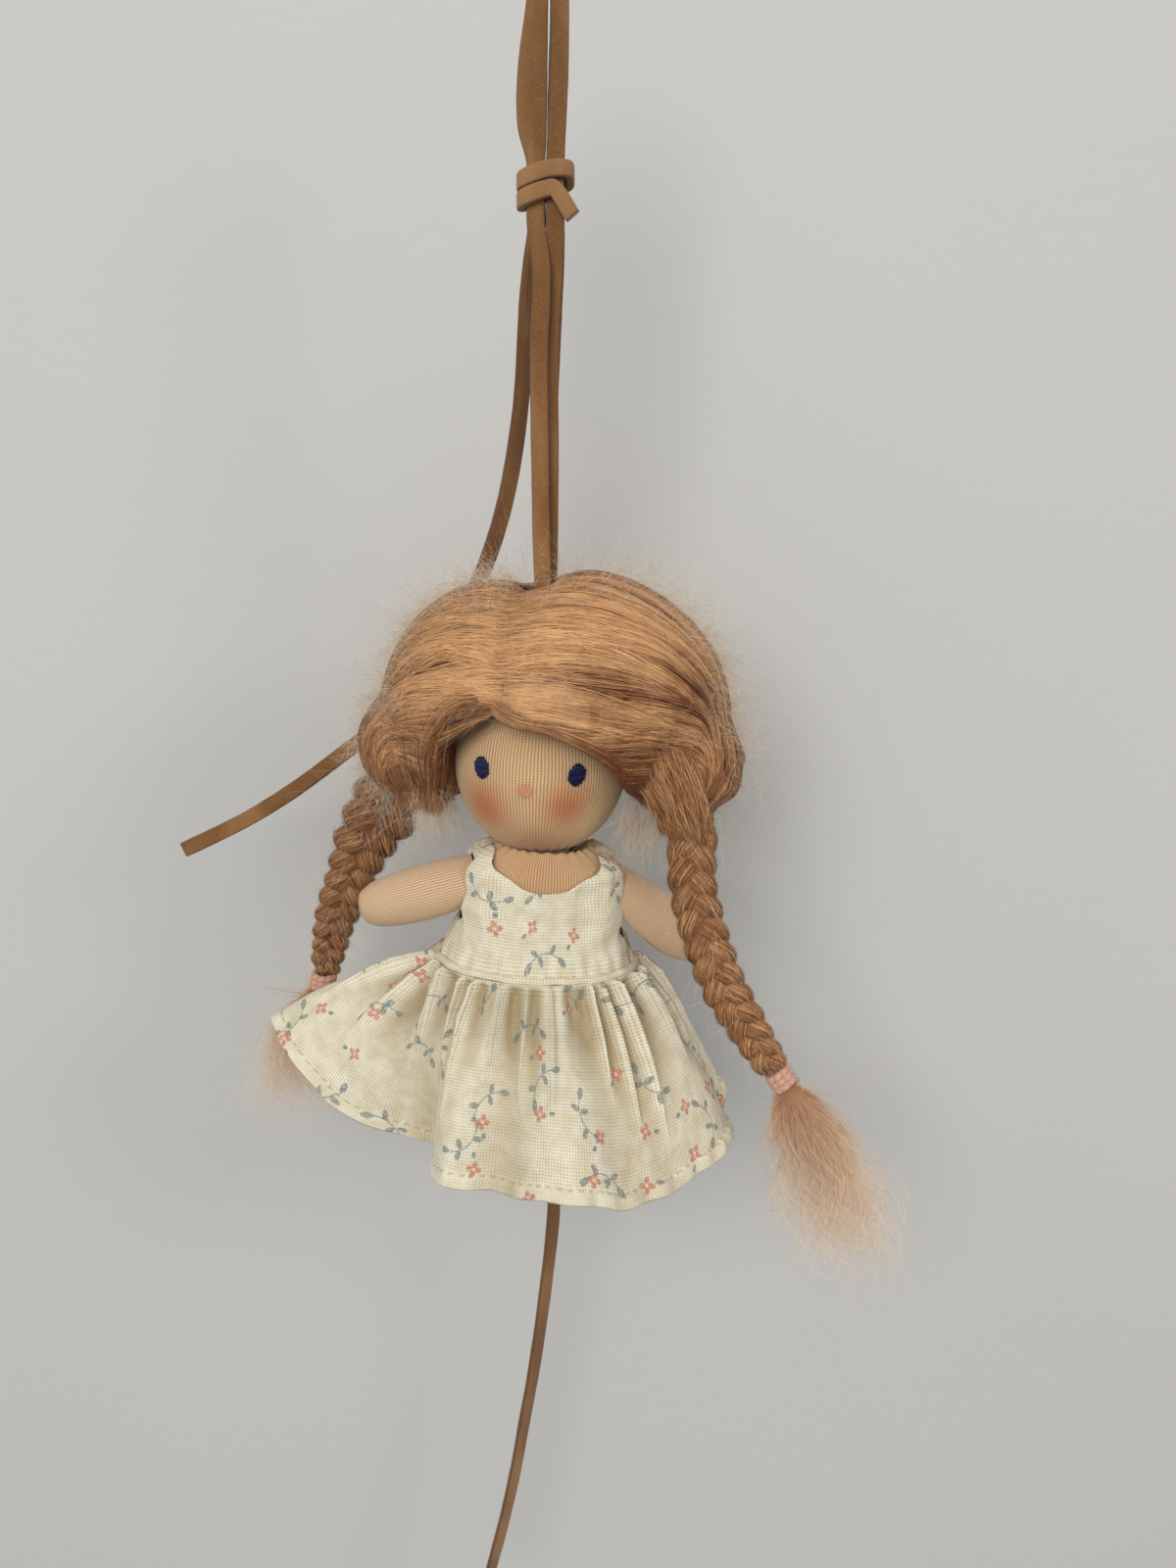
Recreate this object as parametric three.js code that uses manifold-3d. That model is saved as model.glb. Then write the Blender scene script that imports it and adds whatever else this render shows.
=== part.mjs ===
// A small stuffed cloth doll with mohair braids and a gathered dress. It hangs from a flat
// suede lace: the lace is doubled over a hook, bound by a short wrapped lace, and its middle
// runs through a thread loop on the crown. Two free tails hang from the binding.
// The origin is where the hook bears on the inside of the hanging loops. +X is the viewer's
// right, +Y points away from the viewer, +Z is up. Sizes are millimetres, angles degrees.

import * as THREE from 'three';
import { mergeVertices } from 'three/addons/utils/BufferGeometryUtils.js';
import Module from 'manifold-3d';

const wasm = await Module();
wasm.setup();

// Clearances and cutters
const seatGap = 0.3; // between two pieces that touch on the real doll
const cutOverrun = 6; // how far a cutter runs past what it cuts

// Suede lace
const laceWidth = 3.0;
const laceThick = 1.5;
const laceEdge = 0.35; // rounding of its long edges
const hookRadius = 2.4; // of the hook that the loops are made for
const loopTopLeft = 0.3; // of a loop's top, sideways from the hook's middle
const loopTopRight = 3.05;
const knotDrop = 39.8; // from the hook's bearing line to the middle of the binding
const knotShift = 0.5; // of the binding's middle, sideways from the hook
const bundleGap = 0.25; // between two of the four strands inside the binding
const bindStart = 100; // bearing where the binding begins, behind the strands
const bindEnd = 648; // bearing where it leaves, in front
const bindPitch = 3.5; // of the turns of the binding
const bindRise = 0.5; // of the turns' right side above their middle
const bindHigh = 4.9; // of the binding's beginning above its middle
const straightRun = 4.6; // of each strand, straight up or down from the binding's middle
const bindHug = 0.32; // between the strands and the binding's turns
const stubLength = 4.6; // of the binding's cut end in front
const stubShort = 1.4; // of its other cut end

// Thread loop on the crown
const hangLength = 119.9; // from the hook's bearing line to the top of the head
const threadRadius = 0.4;
const threadLoopHalfWidth = 3.0;
const threadLoopHalfHeight = 2.8;
const bightRadius = 1.5; // of the lace's middle where it turns inside the thread loop

// Head
const headHalfWidth = 16.2;
const headHalfDepth = 15.5;
const headHalfHeight = 17.6;
const headShift = -1.1; // of the head's middle, sideways from the hook
const headYaw = -7.5;
const headRoll = 3;
const skinThick = 0.7;
const neckRadius = 6.0;
const neckReach = 7.5; // of the neck, down into the body
const neckTieRadius = 0.5;
const patchThick = 0.4; // of the stitched eyes and nose
const eyeApart = 8.6; // from the face's middle to an eye
const eyeHigh = 0.7; // above the middle of the head
const eyeHalfWidth = 1.5;
const eyeHalfHeight = 2.0;
const noseHalfWidth = 1.9;
const noseHalfHeight = 1.1;
const noseLow = 2.3; // below the middle of the head

// Hair
const hairHalfWidth = 32.6;
const hairHalfDepth = 24;
const hairHalfHeight = 26.6;
const hairRise = 9.6; // of the hair's middle above the head's
const hairShift = 1.9; // of the hair's middle, sideways from the head's
const hairBack = 2.2; // of the hair's middle behind the head's
const partingShift = -4.3; // of the parting, sideways from the face's middle
const partingHalfGap = 0.8;
const partingDip = 3.2; // of the hair's top at the parting
const seamHalfWidth = 0.45;
const seamThick = 0.6;
const napeLow = 9.6; // of the hair's lower edge, below the middle of the head
const bunchRadius = 10.6; // of the gathered hair over each braid
const bunchLeft = 24.6; // of its middle, sideways from the head's
const bunchRight = 27.4;
const bunchHigh = 1.4; // of its middle above the head's
const channelRadius = 3.9; // of the way left in the hair for the lace

// Braids, each a chain of stations from the hair down to its tie
const braidTopHalf = 7.2;
const braidEndHalf = 2.1;
const braidDepthShare = 0.74;
const tieThick = 0.9;
const tieLength = 5.4;
const tuftLengthLeft = 30;
const tuftLengthRight = 38;
const tuftHalf = 9.5;
const tuftDepthHalf = 6;

// Body
const torsoHalfWidth = 18.3;
const torsoHalfDepth = 12.6;
const torsoHeight = 36;
const torsoYaw = 6;
const torsoRoll = 4;
const torsoShift = -0.6; // of the neck's base, sideways from the hook
const neckBaseRise = 0.5; // of the neck's base above the bottom of the head
const shoulderApart = 11.5;
const shoulderLow = 6.4; // of an arm's root below the neck's base
const armLength = 24;
const armHalf = 5.4;
const armForward = 6;
const armSpreadLeft = 75; // of the left arm away from straight down
const armSpreadRight = 59;
const hipApart = 7.4;
const hipLow = 30;
const legLength = 27;
const legHalf = 5.6;
const legSplay = 5;
const legForward = 7;
const armRaise = 18; // how far an arm swings up
const armLower = 8; // how far an arm swings down
const legSwing = 18; // how far a leg swings either way
const sweepStep = 6; // between two poses that a cut is made for
const sweepSpare = 1; // beyond both ends of a swing

// Dress
const clothThick = 0.8;
const clothEase = 0.4; // between the body and the dress
const waistLow = 22; // of the piping below the neck's base
const pipingRadius = 0.65;
const necklineHalf = 10.2;
const necklineFrontLow = 6.0; // of the neckline below the neck's base, in front
const necklineBackLow = 3.0;
const backSlitHalf = 0.25;
const backSlitLength = 13;
const skirtLength = 36.5;
const skirtThick = 1.0;
const foldHalfDepth = 1.7; // of the skirt's main folds at the hem
const buttonRadius = 2.3;
const buttonThick = 1.1;
const buttonHoleRadius = 0.45;
const buttonLow = 5.5; // of the button's middle below the neck's base

// Counts
const laceSides = 8;
const turnSteps = 24;
const headSegments = 20;
const headRings = 12;
const hairSegments = 24;
const hairRings = 14;
const bodySegments = 18;
const limbSegments = 14;
const ringSegments = 28;
const ringSides = 6;
const braidSides = 10;
const skirtColumns = 64;
const skirtRows = 6;
const mainFolds = 11;

const degrees = THREE.MathUtils.degToRad;
const v3 = (x, y, z) => new THREE.Vector3(x, y, z);

// Materials
function material(colour, roughness) {
  return new THREE.MeshStandardMaterial({ color: colour, roughness, metalness: 0 });
}
const suede = material(0x9a7550, 0.95);
const skin = material(0xe3c69e, 0.9);
const wool = material(0xf1e8d6, 0.95);
const hair = material(0xc58e6c, 0.8);
const thread = material(0xf3ead8, 0.8);
const eyeThread = material(0x10146e, 0.6);
const noseThread = material(0xe0a58e, 0.8);
const elastic = material(0xe7b0a0, 0.7);
const cloth = material(0xf1ead0, 0.95);
const horn = material(0xf3efe4, 0.4);

// Booleans: a closed geometry becomes a solid, and a solid becomes a geometry again
function solid(geometry) {
  const bare = geometry.index ? geometry.toNonIndexed() : geometry.clone();
  bare.deleteAttribute('normal');
  bare.deleteAttribute('uv');
  const merged = mergeVertices(bare, 1e-4);
  return new wasm.Manifold(new wasm.Mesh({
    numProp: 3,
    vertProperties: new Float32Array(merged.attributes.position.array),
    triVerts: new Uint32Array(merged.index.array),
  }));
}

function geometryOf(shape) {
  const mesh = shape.getMesh();
  const geometry = new THREE.BufferGeometry();
  geometry.setAttribute('position', new THREE.BufferAttribute(mesh.vertProperties, 3));
  geometry.setIndex(new THREE.BufferAttribute(mesh.triVerts, 1));
  return geometry;
}

// Nested frames: the geometry of one group, seen from another
function seenFrom(geometry, from, to) {
  from.updateWorldMatrix(true, false);
  to.updateWorldMatrix(true, false);
  const matrix = to.matrixWorld.clone().invert().multiply(from.matrixWorld);
  return geometry.clone().applyMatrix4(matrix);
}

function frame(parent, position, [pitch, roll, yaw]) {
  const group = new THREE.Group();
  group.position.copy(position);
  group.rotation.set(degrees(pitch), degrees(roll), degrees(yaw), 'ZYX');
  parent.add(group);
  return group;
}

function addPiece(group, name, geometry, look) {
  const mesh = new THREE.Mesh(geometry, look);
  mesh.name = name;
  group.add(mesh);
  return mesh;
}

// Rings of points joined into one closed skin, with a fan over each end
function ringSkin(rings) {
  const sides = rings[0].length;
  const positions = rings.flat().flatMap((p) => [p.x, p.y, p.z]);
  const index = [];
  for (let r = 0; r < rings.length - 1; r++) {
    for (let s = 0; s < sides; s++) {
      const a = r * sides + s;
      const b = r * sides + (s + 1) % sides;
      index.push(a, b, a + sides, b, b + sides, a + sides);
    }
  }
  for (const [ring, flip] of [[0, true], [rings.length - 1, false]]) {
    const middle = rings[ring].reduce((sum, p) => sum.add(p), v3(0, 0, 0)).divideScalar(sides);
    const centre = positions.length / 3;
    positions.push(middle.x, middle.y, middle.z);
    for (let s = 0; s < sides; s++) {
      const a = ring * sides + s;
      const b = ring * sides + (s + 1) % sides;
      index.push(...(flip ? [b, a, centre] : [a, b, centre]));
    }
  }
  const geometry = new THREE.BufferGeometry();
  geometry.setAttribute('position', new THREE.Float32BufferAttribute(positions, 3));
  geometry.setIndex(index);
  return geometry;
}

// A swelling, tapering form: a revolved profile of shares, flattened front to back
function stuffed(shares, halfWidth, halfDepth, height, segments, grow = 0) {
  const profile = shares.map(([r, h]) => new THREE.Vector2(r, h));
  const geometry = new THREE.LatheGeometry(profile, segments);
  geometry.rotateX(Math.PI / 2);
  geometry.scale(halfWidth + grow, halfDepth + grow, height + 2 * grow);
  return geometry.translate(0, 0, -grow);
}

function ball(halfWidth, halfDepth, halfHeight, segments, rings) {
  const geometry = new THREE.SphereGeometry(1, segments, rings);
  geometry.rotateX(Math.PI / 2);
  return geometry.scale(halfWidth, halfDepth, halfHeight);
}

function rodAlongZ(radius, low, high, segments = ringSegments) {
  const rod = new THREE.CylinderGeometry(radius, radius, high - low, segments);
  rod.rotateX(Math.PI / 2);
  return rod.translate(0, 0, (high + low) / 2);
}

function rodAlongY(halfWidth, halfHeight, low, high, segments = ringSegments) {
  const rod = new THREE.CylinderGeometry(1, 1, high - low, segments);
  rod.scale(halfWidth, 1, halfHeight);
  return rod.translate(0, (high + low) / 2, 0);
}

function box(x0, x1, y0, y1, z0, z1) {
  const block = new THREE.BoxGeometry(x1 - x0, y1 - y0, z1 - z0);
  return block.translate((x0 + x1) / 2, (y0 + y1) / 2, (z0 + z1) / 2);
}

// Flat lace: a path whose section keeps its wide side along a chosen direction
class LacePath extends THREE.CatmullRomCurve3 {
  constructor(points, wideAt) {
    super(points, false, 'centripetal');
    this.wideAt = wideAt;
  }

  computeFrenetFrames(steps) {
    const frames = { tangents: [], normals: [], binormals: [] };
    for (let i = 0; i <= steps; i++) {
      const u = i / steps;
      const tangent = this.getTangentAt(u);
      const wide = this.wideAt(u).clone();
      wide.addScaledVector(tangent, -wide.dot(tangent)).normalize();
      frames.tangents.push(tangent);
      frames.normals.push(wide);
      frames.binormals.push(tangent.clone().cross(wide));
    }
    return frames;
  }
}

function laceSection() {
  const w = laceWidth / 2;
  const t = laceThick / 2;
  const outline = [
    [w - laceEdge, -t], [w, laceEdge - t], [w, t - laceEdge], [w - laceEdge, t],
    [laceEdge - w, t], [-w, t - laceEdge], [-w, laceEdge - t], [laceEdge - w, -t],
  ];
  return new THREE.Shape(outline.map(([x, y]) => new THREE.Vector2(x, y)));
}

function laceTube(path, steps) {
  return new THREE.ExtrudeGeometry(laceSection(), {
    steps, extrudePath: path, bevelEnabled: false,
  });
}

// A route's points are [x, y, z, turn]: turn is the bearing of the wide side, from +X
function routed(route, steps) {
  const points = route.map(([x, y, z]) => v3(x, y, z));
  const path = new LacePath(points, (u) => {
    const place = path.getUtoTmapping(u) * (route.length - 1);
    const i = Math.min(Math.floor(place), route.length - 2);
    const turn = THREE.MathUtils.lerp(route[i][3], route[i + 1][3], place - i);
    return v3(Math.cos(degrees(turn)), Math.sin(degrees(turn)), 0);
  });
  return laceTube(path, steps);
}

const doll = new THREE.Group();

// Lace strands. Inside the binding the four strands lie two by two.
const strandX = (laceWidth + bundleGap) / 2;
const strandY = (laceThick + bundleGap) / 2;
const strandTop = seatGap / 2 - knotDrop;
const strandEnd = -seatGap / 2 - knotDrop;
const loopRadius = hookRadius + laceThick / 2;
const leftX = knotShift - strandX;
const rightX = knotShift + strandX;

// One hanging loop: up in front, over the hook, and down behind
function hangingLoop(side, front, top, back) {
  const x = knotShift + side * strandX;
  const over = [];
  for (const angle of [0, 45, 90, 135, 180]) {
    const y = -loopRadius * Math.cos(degrees(angle));
    const z = loopRadius * Math.sin(degrees(angle)) - hookRadius;
    over.push([top, y, z, 0]);
  }
  return routed([[x, -strandY, strandTop, 0], [x, -strandY, strandTop + straightRun, 0],
    ...front, ...over, ...back, [x, strandY, strandTop + straightRun, 0],
    [x, strandY, strandTop, 0]], 24);
}

const leftFront = [[-0.9, -1.1, -32.5, 0], [-0.5, -1.9, -20, 0], [-0.3, -2.8, -9, 0]];
const leftBack = [[-1.0, 2.8, -9, 0], [-2.5, 2.5, -19, 10], [-2.7, 1.9, -28, 10],
  [-1.5, 1.0, -32.8, 0]];
const rightFront = [[2.3, -1.15, -32.5, 5], [2.95, -1.9, -20, 20], [3.1, -2.7, -9, 10]];
const rightBack = [[3.0, 2.8, -9, 0], [2.6, 2.2, -20, 0], [2.25, 1.2, -32.5, 0]];
addPiece(doll, 'hanging_loop_left', hangingLoop(-1, leftFront, -loopTopLeft, leftBack), suede);
addPiece(doll, 'hanging_loop_right', hangingLoop(1, rightFront, loopTopRight, rightBack), suede);

// The lace's middle: down in front, through the thread loop, and up behind
const threadLoopMiddle = threadLoopHalfHeight + threadRadius + seatGap - hangLength;
const bightLow = threadLoopMiddle + threadLoopHalfHeight - threadRadius - 2 * seatGap
  - laceThick / 2;
const bightMiddle = bightLow + bightRadius;
function carrier() {
  const down = [[-0.7, -1.1, -47.5, 0], [-0.25, -1.4, -52, 0], [-0.4, -1.5, -57, 0],
    [-0.8, -1.5, -64, 0], [-0.8, -1.5, -82, 0], [-0.6, -1.5, -100, 0]];
  const up = [[0.6, 1.5, -100, 0], [0.9, 1.5, -82, 0], [0.95, 1.5, -64, 0],
    [1.3, 1.4, -57, 0], [1.7, 0.9, -52, 0], [2.0, -0.2, -47.8, 0]];
  const bight = [];
  for (const angle of [0, 45, 90, 135, 180]) {
    const y = -bightRadius * Math.cos(degrees(angle));
    const z = bightMiddle - bightRadius * Math.sin(degrees(angle));
    bight.push([0, y, z, 0]);
  }
  return routed([[leftX, -strandY, strandEnd, 0], [leftX, -strandY, strandEnd - straightRun, 0],
    ...down, ...bight, ...up, [rightX, -strandY, strandEnd - straightRun, 0],
    [rightX, -strandY, strandEnd, 0]], 46);
}
addPiece(doll, 'lace_carrier', carrier(), suede);

// The short tail bends out behind the hair and ends in a square cut
const shortTail = [[-1.6, 1.3, -47.6, 25], [-2.5, 2.3, -51.5, 55], [-3.1, 3.2, -56, 55],
  [-4.4, 5.2, -72.8, 45], [-7.3, 9.5, -87.9, 30], [-11.0, 14.2, -99, 20],
  [-15.0, 17.6, -107.4, 10], [-21.9, 20.4, -117.4, 5], [-29.3, 21.2, -127.2, 0],
  [-36.0, 20.2, -135.0, 0], [-43.5, 19.0, -140.9, 0], [-52.6, 17.2, -147.4, 0],
  [-61.1, 16.2, -152.6, 0], [-67.4, 15.6, -155.8, 0], [-75.1, 15.0, -159.4, 0]];
addPiece(doll, 'lace_tail_short', routed([[leftX, strandY, strandEnd, 0],
  [leftX, strandY, strandEnd - straightRun, 0], ...shortTail], 28), suede);

// The long tail hangs behind the doll and runs on below the hem
const longTail = [[2.1, 1.9, -47.6, 0], [1.9, 3.8, -52, 0], [0.9, 10, -67, 0],
  [0, 17.0, -84, 0], [-0.4, 25.0, -103, 0], [-0.5, 30.0, -120, 0], [-0.4, 31.3, -140, 0],
  [-0.2, 31.0, -165, 0], [0, 31.0, -190, 10], [0, 31.0, -215, 20], [-0.2, 31.0, -238, 28],
  [-0.4, 31.0, -252.6, 33], [-2.7, 31.5, -275.4, 36], [-5.7, 32.0, -297.7, 38],
  [-8.1, 32.0, -311.9, 40], [-10.5, 32.0, -326.3, 40], [-13.5, 32.0, -341.0, 40],
  [-17.1, 32.0, -356.1, 40], [-19.6, 32.0, -366.0, 40]];
addPiece(doll, 'lace_tail_long', routed([[rightX, strandY, strandEnd, 0],
  [rightX, strandY, strandEnd - straightRun, 0], ...longTail], 46), suede);

// The binding: a short lace wound round the four strands, with both cut ends showing
const bindHalfX = strandX + laceWidth / 2 + bindHug + laceThick / 2;
const bindHalfY = strandY + laceThick / 2 + bindHug + laceThick / 2;
const bindSquareness = 4;
function bindPoint(angle, out = 1) {
  const c = Math.cos(angle);
  const s = Math.sin(angle);
  const r = (Math.abs(c) ** bindSquareness + Math.abs(s) ** bindSquareness)
    ** (-1 / bindSquareness);
  return [knotShift + bindHalfX * r * c * out, bindHalfY * r * s * out];
}

function bindingPoints() {
  const bindTurns = (bindEnd - bindStart) / 360;
  const steps = Math.round(turnSteps * bindTurns);
  const turns = [];
  for (let i = 0; i <= steps; i++) {
    const bearing = THREE.MathUtils.lerp(bindStart, bindEnd, i / steps);
    const [x, y] = bindPoint(degrees(bearing));
    const rise = bindRise * (x - knotShift) / bindHalfX;
    turns.push(v3(x, y, bindHigh - knotDrop + rise - bindPitch * bindTurns * i / steps));
  }
  const lead = turns[0].clone().sub(turns[1]).normalize();
  const first = turns[0].clone().addScaledVector(lead, stubShort);
  first.y += stubShort * 0.3;
  const tail = turns.at(-1).clone().sub(turns.at(-2)).normalize();
  const last = turns.at(-1).clone().addScaledVector(tail, stubLength);
  last.z -= stubLength * 0.95;
  last.y -= stubLength * 0.2;
  return [first, ...turns, last];
}
const binding = new LacePath(bindingPoints(), () => v3(0, 0, 1));
addPiece(doll, 'wrap_knot', laceTube(binding, turnSteps * 2), suede);

// The least gap between the binding's turns, square to their edges where they lie steepest
function turnGap(points) {
  let least = Infinity;
  for (let i = 1; i + 2 < points.length; i++) {
    const step = points[i + 1].clone().sub(points[i]);
    const level = Math.hypot(step.x, step.y) / step.length();
    least = Math.min(least, bindPitch * level - laceWidth);
  }
  return least;
}
console.log('least gap between the turns of wrap_knot, mm:', turnGap(bindingPoints()).toFixed(2));

// Head
const headMiddle = v3(headShift, 0, -hangLength - headHalfHeight);
const head = frame(doll, headMiddle, [0, headRoll, headYaw]);
const torsoTop = headMiddle.z - headHalfHeight + neckBaseRise;
const torso = frame(doll, v3(torsoShift, 0, torsoTop), [0, torsoRoll, torsoYaw]);

function headBall(grow) {
  return ball(headHalfWidth + grow, headHalfDepth + grow, headHalfHeight + grow,
    headSegments, headRings);
}

// The neck stands in the body, so it is made in the body's frame and turned into the head's
function neckRod(radius, low) {
  return solid(seenFrom(rodAlongZ(radius, -low, headHalfHeight, limbSegments), torso, head));
}
const neckInner = neckRadius - skinThick;
const headSkin = solid(headBall(0)).add(neckRod(neckRadius, neckReach))
  .subtract(solid(headBall(-skinThick)))
  .subtract(neckRod(neckInner, neckReach + cutOverrun));
const headCore = solid(headBall(-skinThick - seatGap))
  .add(neckRod(neckInner - seatGap, neckReach));
addPiece(head, 'head_skin', geometryOf(headSkin), skin);
addPiece(head, 'head_stuffing', geometryOf(headCore), wool);

const tieRing = neckRadius + seatGap + neckTieRadius;
const neckTie = new THREE.TorusGeometry(tieRing, neckTieRadius, ringSides, ringSegments);
neckTie.translate(0, 0, -neckTieRadius - seatGap);
addPiece(head, 'neck_tie', seenFrom(neckTie, torso, head), thread);

// A patch that lies on the head: a thin layer over the ball, cut out by a prism
function patch(cutter, thick) {
  return solid(headBall(seatGap + thick)).subtract(solid(headBall(seatGap)))
    .intersect(solid(cutter));
}

function facePatch(x, z, halfWidth, halfHeight, sides) {
  const prism = rodAlongY(halfWidth, halfHeight, -headHalfDepth - cutOverrun, 0, sides);
  return geometryOf(patch(prism.translate(x, 0, z), patchThick));
}
addPiece(head, 'eye_left', facePatch(-eyeApart, eyeHigh, eyeHalfWidth, eyeHalfHeight, 6),
  eyeThread);
addPiece(head, 'eye_right', facePatch(eyeApart, eyeHigh, eyeHalfWidth, eyeHalfHeight, 6),
  eyeThread);
addPiece(head, 'nose_stitch', facePatch(0, -noseLow, noseHalfWidth, noseHalfHeight, 10),
  noseThread);

// The thread loop stands on the crown, straight above the body's axis
const loopSquareness = 3;
const threadLoop = new THREE.TorusGeometry(1, 1 / 4, ringSides, ringSegments);
const ringPoints = threadLoop.attributes.position;
for (let i = 0; i < ringPoints.count; i++) {
  const angle = Math.atan2(ringPoints.getY(i), ringPoints.getX(i));
  const c = Math.cos(angle);
  const s = Math.sin(angle);
  const reach = (Math.hypot(ringPoints.getX(i), ringPoints.getY(i)) - 1) * 4 * threadRadius;
  const out = (Math.abs(c) ** loopSquareness + Math.abs(s) ** loopSquareness)
    ** (-1 / loopSquareness);
  ringPoints.setXYZ(i, (threadLoopHalfWidth * out + reach) * c,
    4 * threadRadius * ringPoints.getZ(i), (threadLoopHalfHeight * out + reach) * s);
}
threadLoop.index.array.reverse();
threadLoop.translate(0, 0, threadLoopMiddle);
addPiece(head, 'crown_loop', seenFrom(threadLoop, doll, head), thread);

// Hair: one mass each side of the parting, open over the face and at the nape
const hairMiddle = v3(hairShift, hairBack, hairRise);
function bunchAt(side) {
  return v3(side < 0 ? -bunchLeft : bunchRight, 0, bunchHigh);
}

function hairMass(side, grow = 0) {
  const cap = ball(hairHalfWidth + grow, hairHalfDepth + grow, hairHalfHeight + grow,
    hairSegments, hairRings).translate(hairMiddle.x, hairMiddle.y, hairMiddle.z);
  const points = cap.attributes.position;
  for (let i = 0; i < points.count; i++) {
    const near = (points.getX(i) - partingShift) / headHalfWidth;
    const high = Math.max(0, points.getZ(i) - hairMiddle.z) / hairHalfHeight;
    points.setZ(i, points.getZ(i) - partingDip * high * Math.exp(-4 * near * near));
  }
  const middle = bunchAt(side);
  const bunch = ball(bunchRadius + grow, bunchRadius + grow, bunchRadius + grow,
    limbSegments, headRings).translate(middle.x, middle.y, middle.z);
  const far = side * (hairHalfWidth + bunchRadius + cutOverrun);
  const near = partingShift + side * (partingHalfGap - grow);
  const reach = hairHalfDepth + bunchRadius + cutOverrun;
  const low = -headHalfHeight - bunchRadius;
  const high = hairMiddle.z + hairHalfHeight + cutOverrun;
  const half = box(Math.min(near, far), Math.max(near, far), -reach, reach, low, high);
  return solid(cap).add(solid(bunch)).intersect(solid(half));
}

// The hairline falls from above the left eye to the right cheek. Its corners are shares
// of the head's half width and half height.
const hairlineShares = [[-1.04, -1.9], [-1.04, 0.17], [-0.93, 0.48], [-0.71, 0.71],
  [-0.52, 0.76], [-0.28, 0.62], [0.28, 0.52], [0.68, 0.37], [0.96, 0.17],
  [1.06, -0.12], [1.08, -1.9]];
function faceOpening() {
  const outline = new THREE.Shape(hairlineShares.map(([x, z]) => new THREE.Vector2(
    x * headHalfWidth, z * headHalfHeight)));
  const prism = new THREE.ExtrudeGeometry(outline, {
    depth: hairHalfDepth + cutOverrun, bevelEnabled: false,
  });
  prism.rotateX(Math.PI / 2);
  return solid(prism.translate(0, -headHalfDepth / 8, 0));
}

// The hair ends level with the chin, round the back too
function napeCut() {
  const wide = hairHalfWidth + bunchRadius;
  const within = bunchLeft - bunchRadius;
  const deep = hairHalfDepth + bunchRadius;
  const level = solid(box(-wide, wide, -deep, deep, -headHalfHeight * 3,
    -napeLow - seatGap));
  return level.add(solid(box(-within, within, -deep, deep, -headHalfHeight * 3, -napeLow)));
}

function laceChannel() {
  const rod = rodAlongZ(channelRadius, -hangLength - headHalfHeight, -hangLength / 2);
  rod.scale((threadLoopHalfWidth + threadRadius + seatGap) / channelRadius, 1, 1);
  return solid(seenFrom(rod, doll, head));
}

for (const [name, side] of [['left', -1], ['right', 1]]) {
  const mass = hairMass(side).subtract(solid(headBall(seatGap))).subtract(faceOpening())
    .subtract(napeCut()).subtract(laceChannel());
  addPiece(head, `hair_${name}`, geometryOf(mass), hair);
}

// The seam that holds the hair runs along the parting, from the hairline to the nape
function partingSeam() {
  const slab = box(partingShift - seamHalfWidth, partingShift + seamHalfWidth,
    -headHalfDepth - cutOverrun, headHalfDepth + cutOverrun, -napeLow,
    headHalfHeight + cutOverrun);
  return patch(slab, seamThick).subtract(faceOpening()).subtract(laceChannel());
}
addPiece(head, 'parting_seam', geometryOf(partingSeam()), thread);

// A braid, its tie and its tuft follow one line. Stations are [x, y, z] from the middle
// of the bunch, in the hook's frame, in shares of the bunch's radius.
const leftStationShares = [[-0.30, 0.30, -0.62], [-0.62, 0.47, -1.20], [-1.08, 0.74, -1.98],
  [-1.42, 0.93, -2.72], [-1.72, 1.10, -3.40], [-1.98, 1.26, -4.24], [-2.14, 1.36, -4.86]];
const rightStationShares = [[0.02, -0.30, -0.62], [0.05, -0.62, -1.12], [0.06, -0.80, -1.90],
  [0.30, -0.92, -2.90], [0.64, -1.00, -3.75], [1.10, -1.08, -4.55], [1.50, -1.16, -5.15]];
const leftShares = [0.80, 1.0, 0.84, 0.70, 0.64, 0.56, 0.40];
const rightShares = [0.62, 0.64, 0.62, 0.62, 0.60, 0.52, 0.38];

function strandLine(side, stations) {
  const middle = bunchAt(side);
  const centre = head.localToWorld(middle.clone());
  return new THREE.CatmullRomCurve3(stations.map(([x, y, z]) => v3(
    centre.x + x * bunchRadius, centre.y + y * bunchRadius, centre.z + z * bunchRadius)));
}

function shareAt(shares, t) {
  const place = t * (shares.length - 1);
  const i = Math.min(Math.floor(place), shares.length - 2);
  return THREE.MathUtils.lerp(shares[i], shares[i + 1], place - i);
}

function crossRing(centre, tangent, halfWidth, halfDepth, sides) {
  const across = v3(0, -1, 0).cross(tangent).normalize();
  const back = tangent.clone().cross(across).normalize();
  return Array.from({ length: sides }, (_, s) => {
    const angle = 2 * Math.PI * s / sides;
    return centre.clone().addScaledVector(across, halfWidth * Math.cos(angle))
      .addScaledVector(back, halfDepth * Math.sin(angle));
  });
}

const braidSteps = 14;
function braidSkin(line, shares) {
  const rings = [];
  for (let i = 0; i <= braidSteps; i++) {
    const t = i / braidSteps;
    const share = shareAt(shares, t);
    const tied = THREE.MathUtils.smoothstep(t, 0.9, 1);
    const half = THREE.MathUtils.lerp(braidTopHalf * share, braidEndHalf, tied);
    const deep = THREE.MathUtils.lerp(half * braidDepthShare, braidEndHalf, tied);
    rings.push(crossRing(line.getPoint(t), line.getTangent(t), half, deep, braidSides));
  }
  return ringSkin(rings);
}

// Below the braid a thin neck of hair runs on through the tie into the tuft
function neckSkin(line, length) {
  const end = line.getPoint(1);
  const along = line.getTangent(1);
  return ringSkin([0, length].map((run) => crossRing(
    end.clone().addScaledVector(along, run), along, braidEndHalf, braidEndHalf, braidSides)));
}

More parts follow.
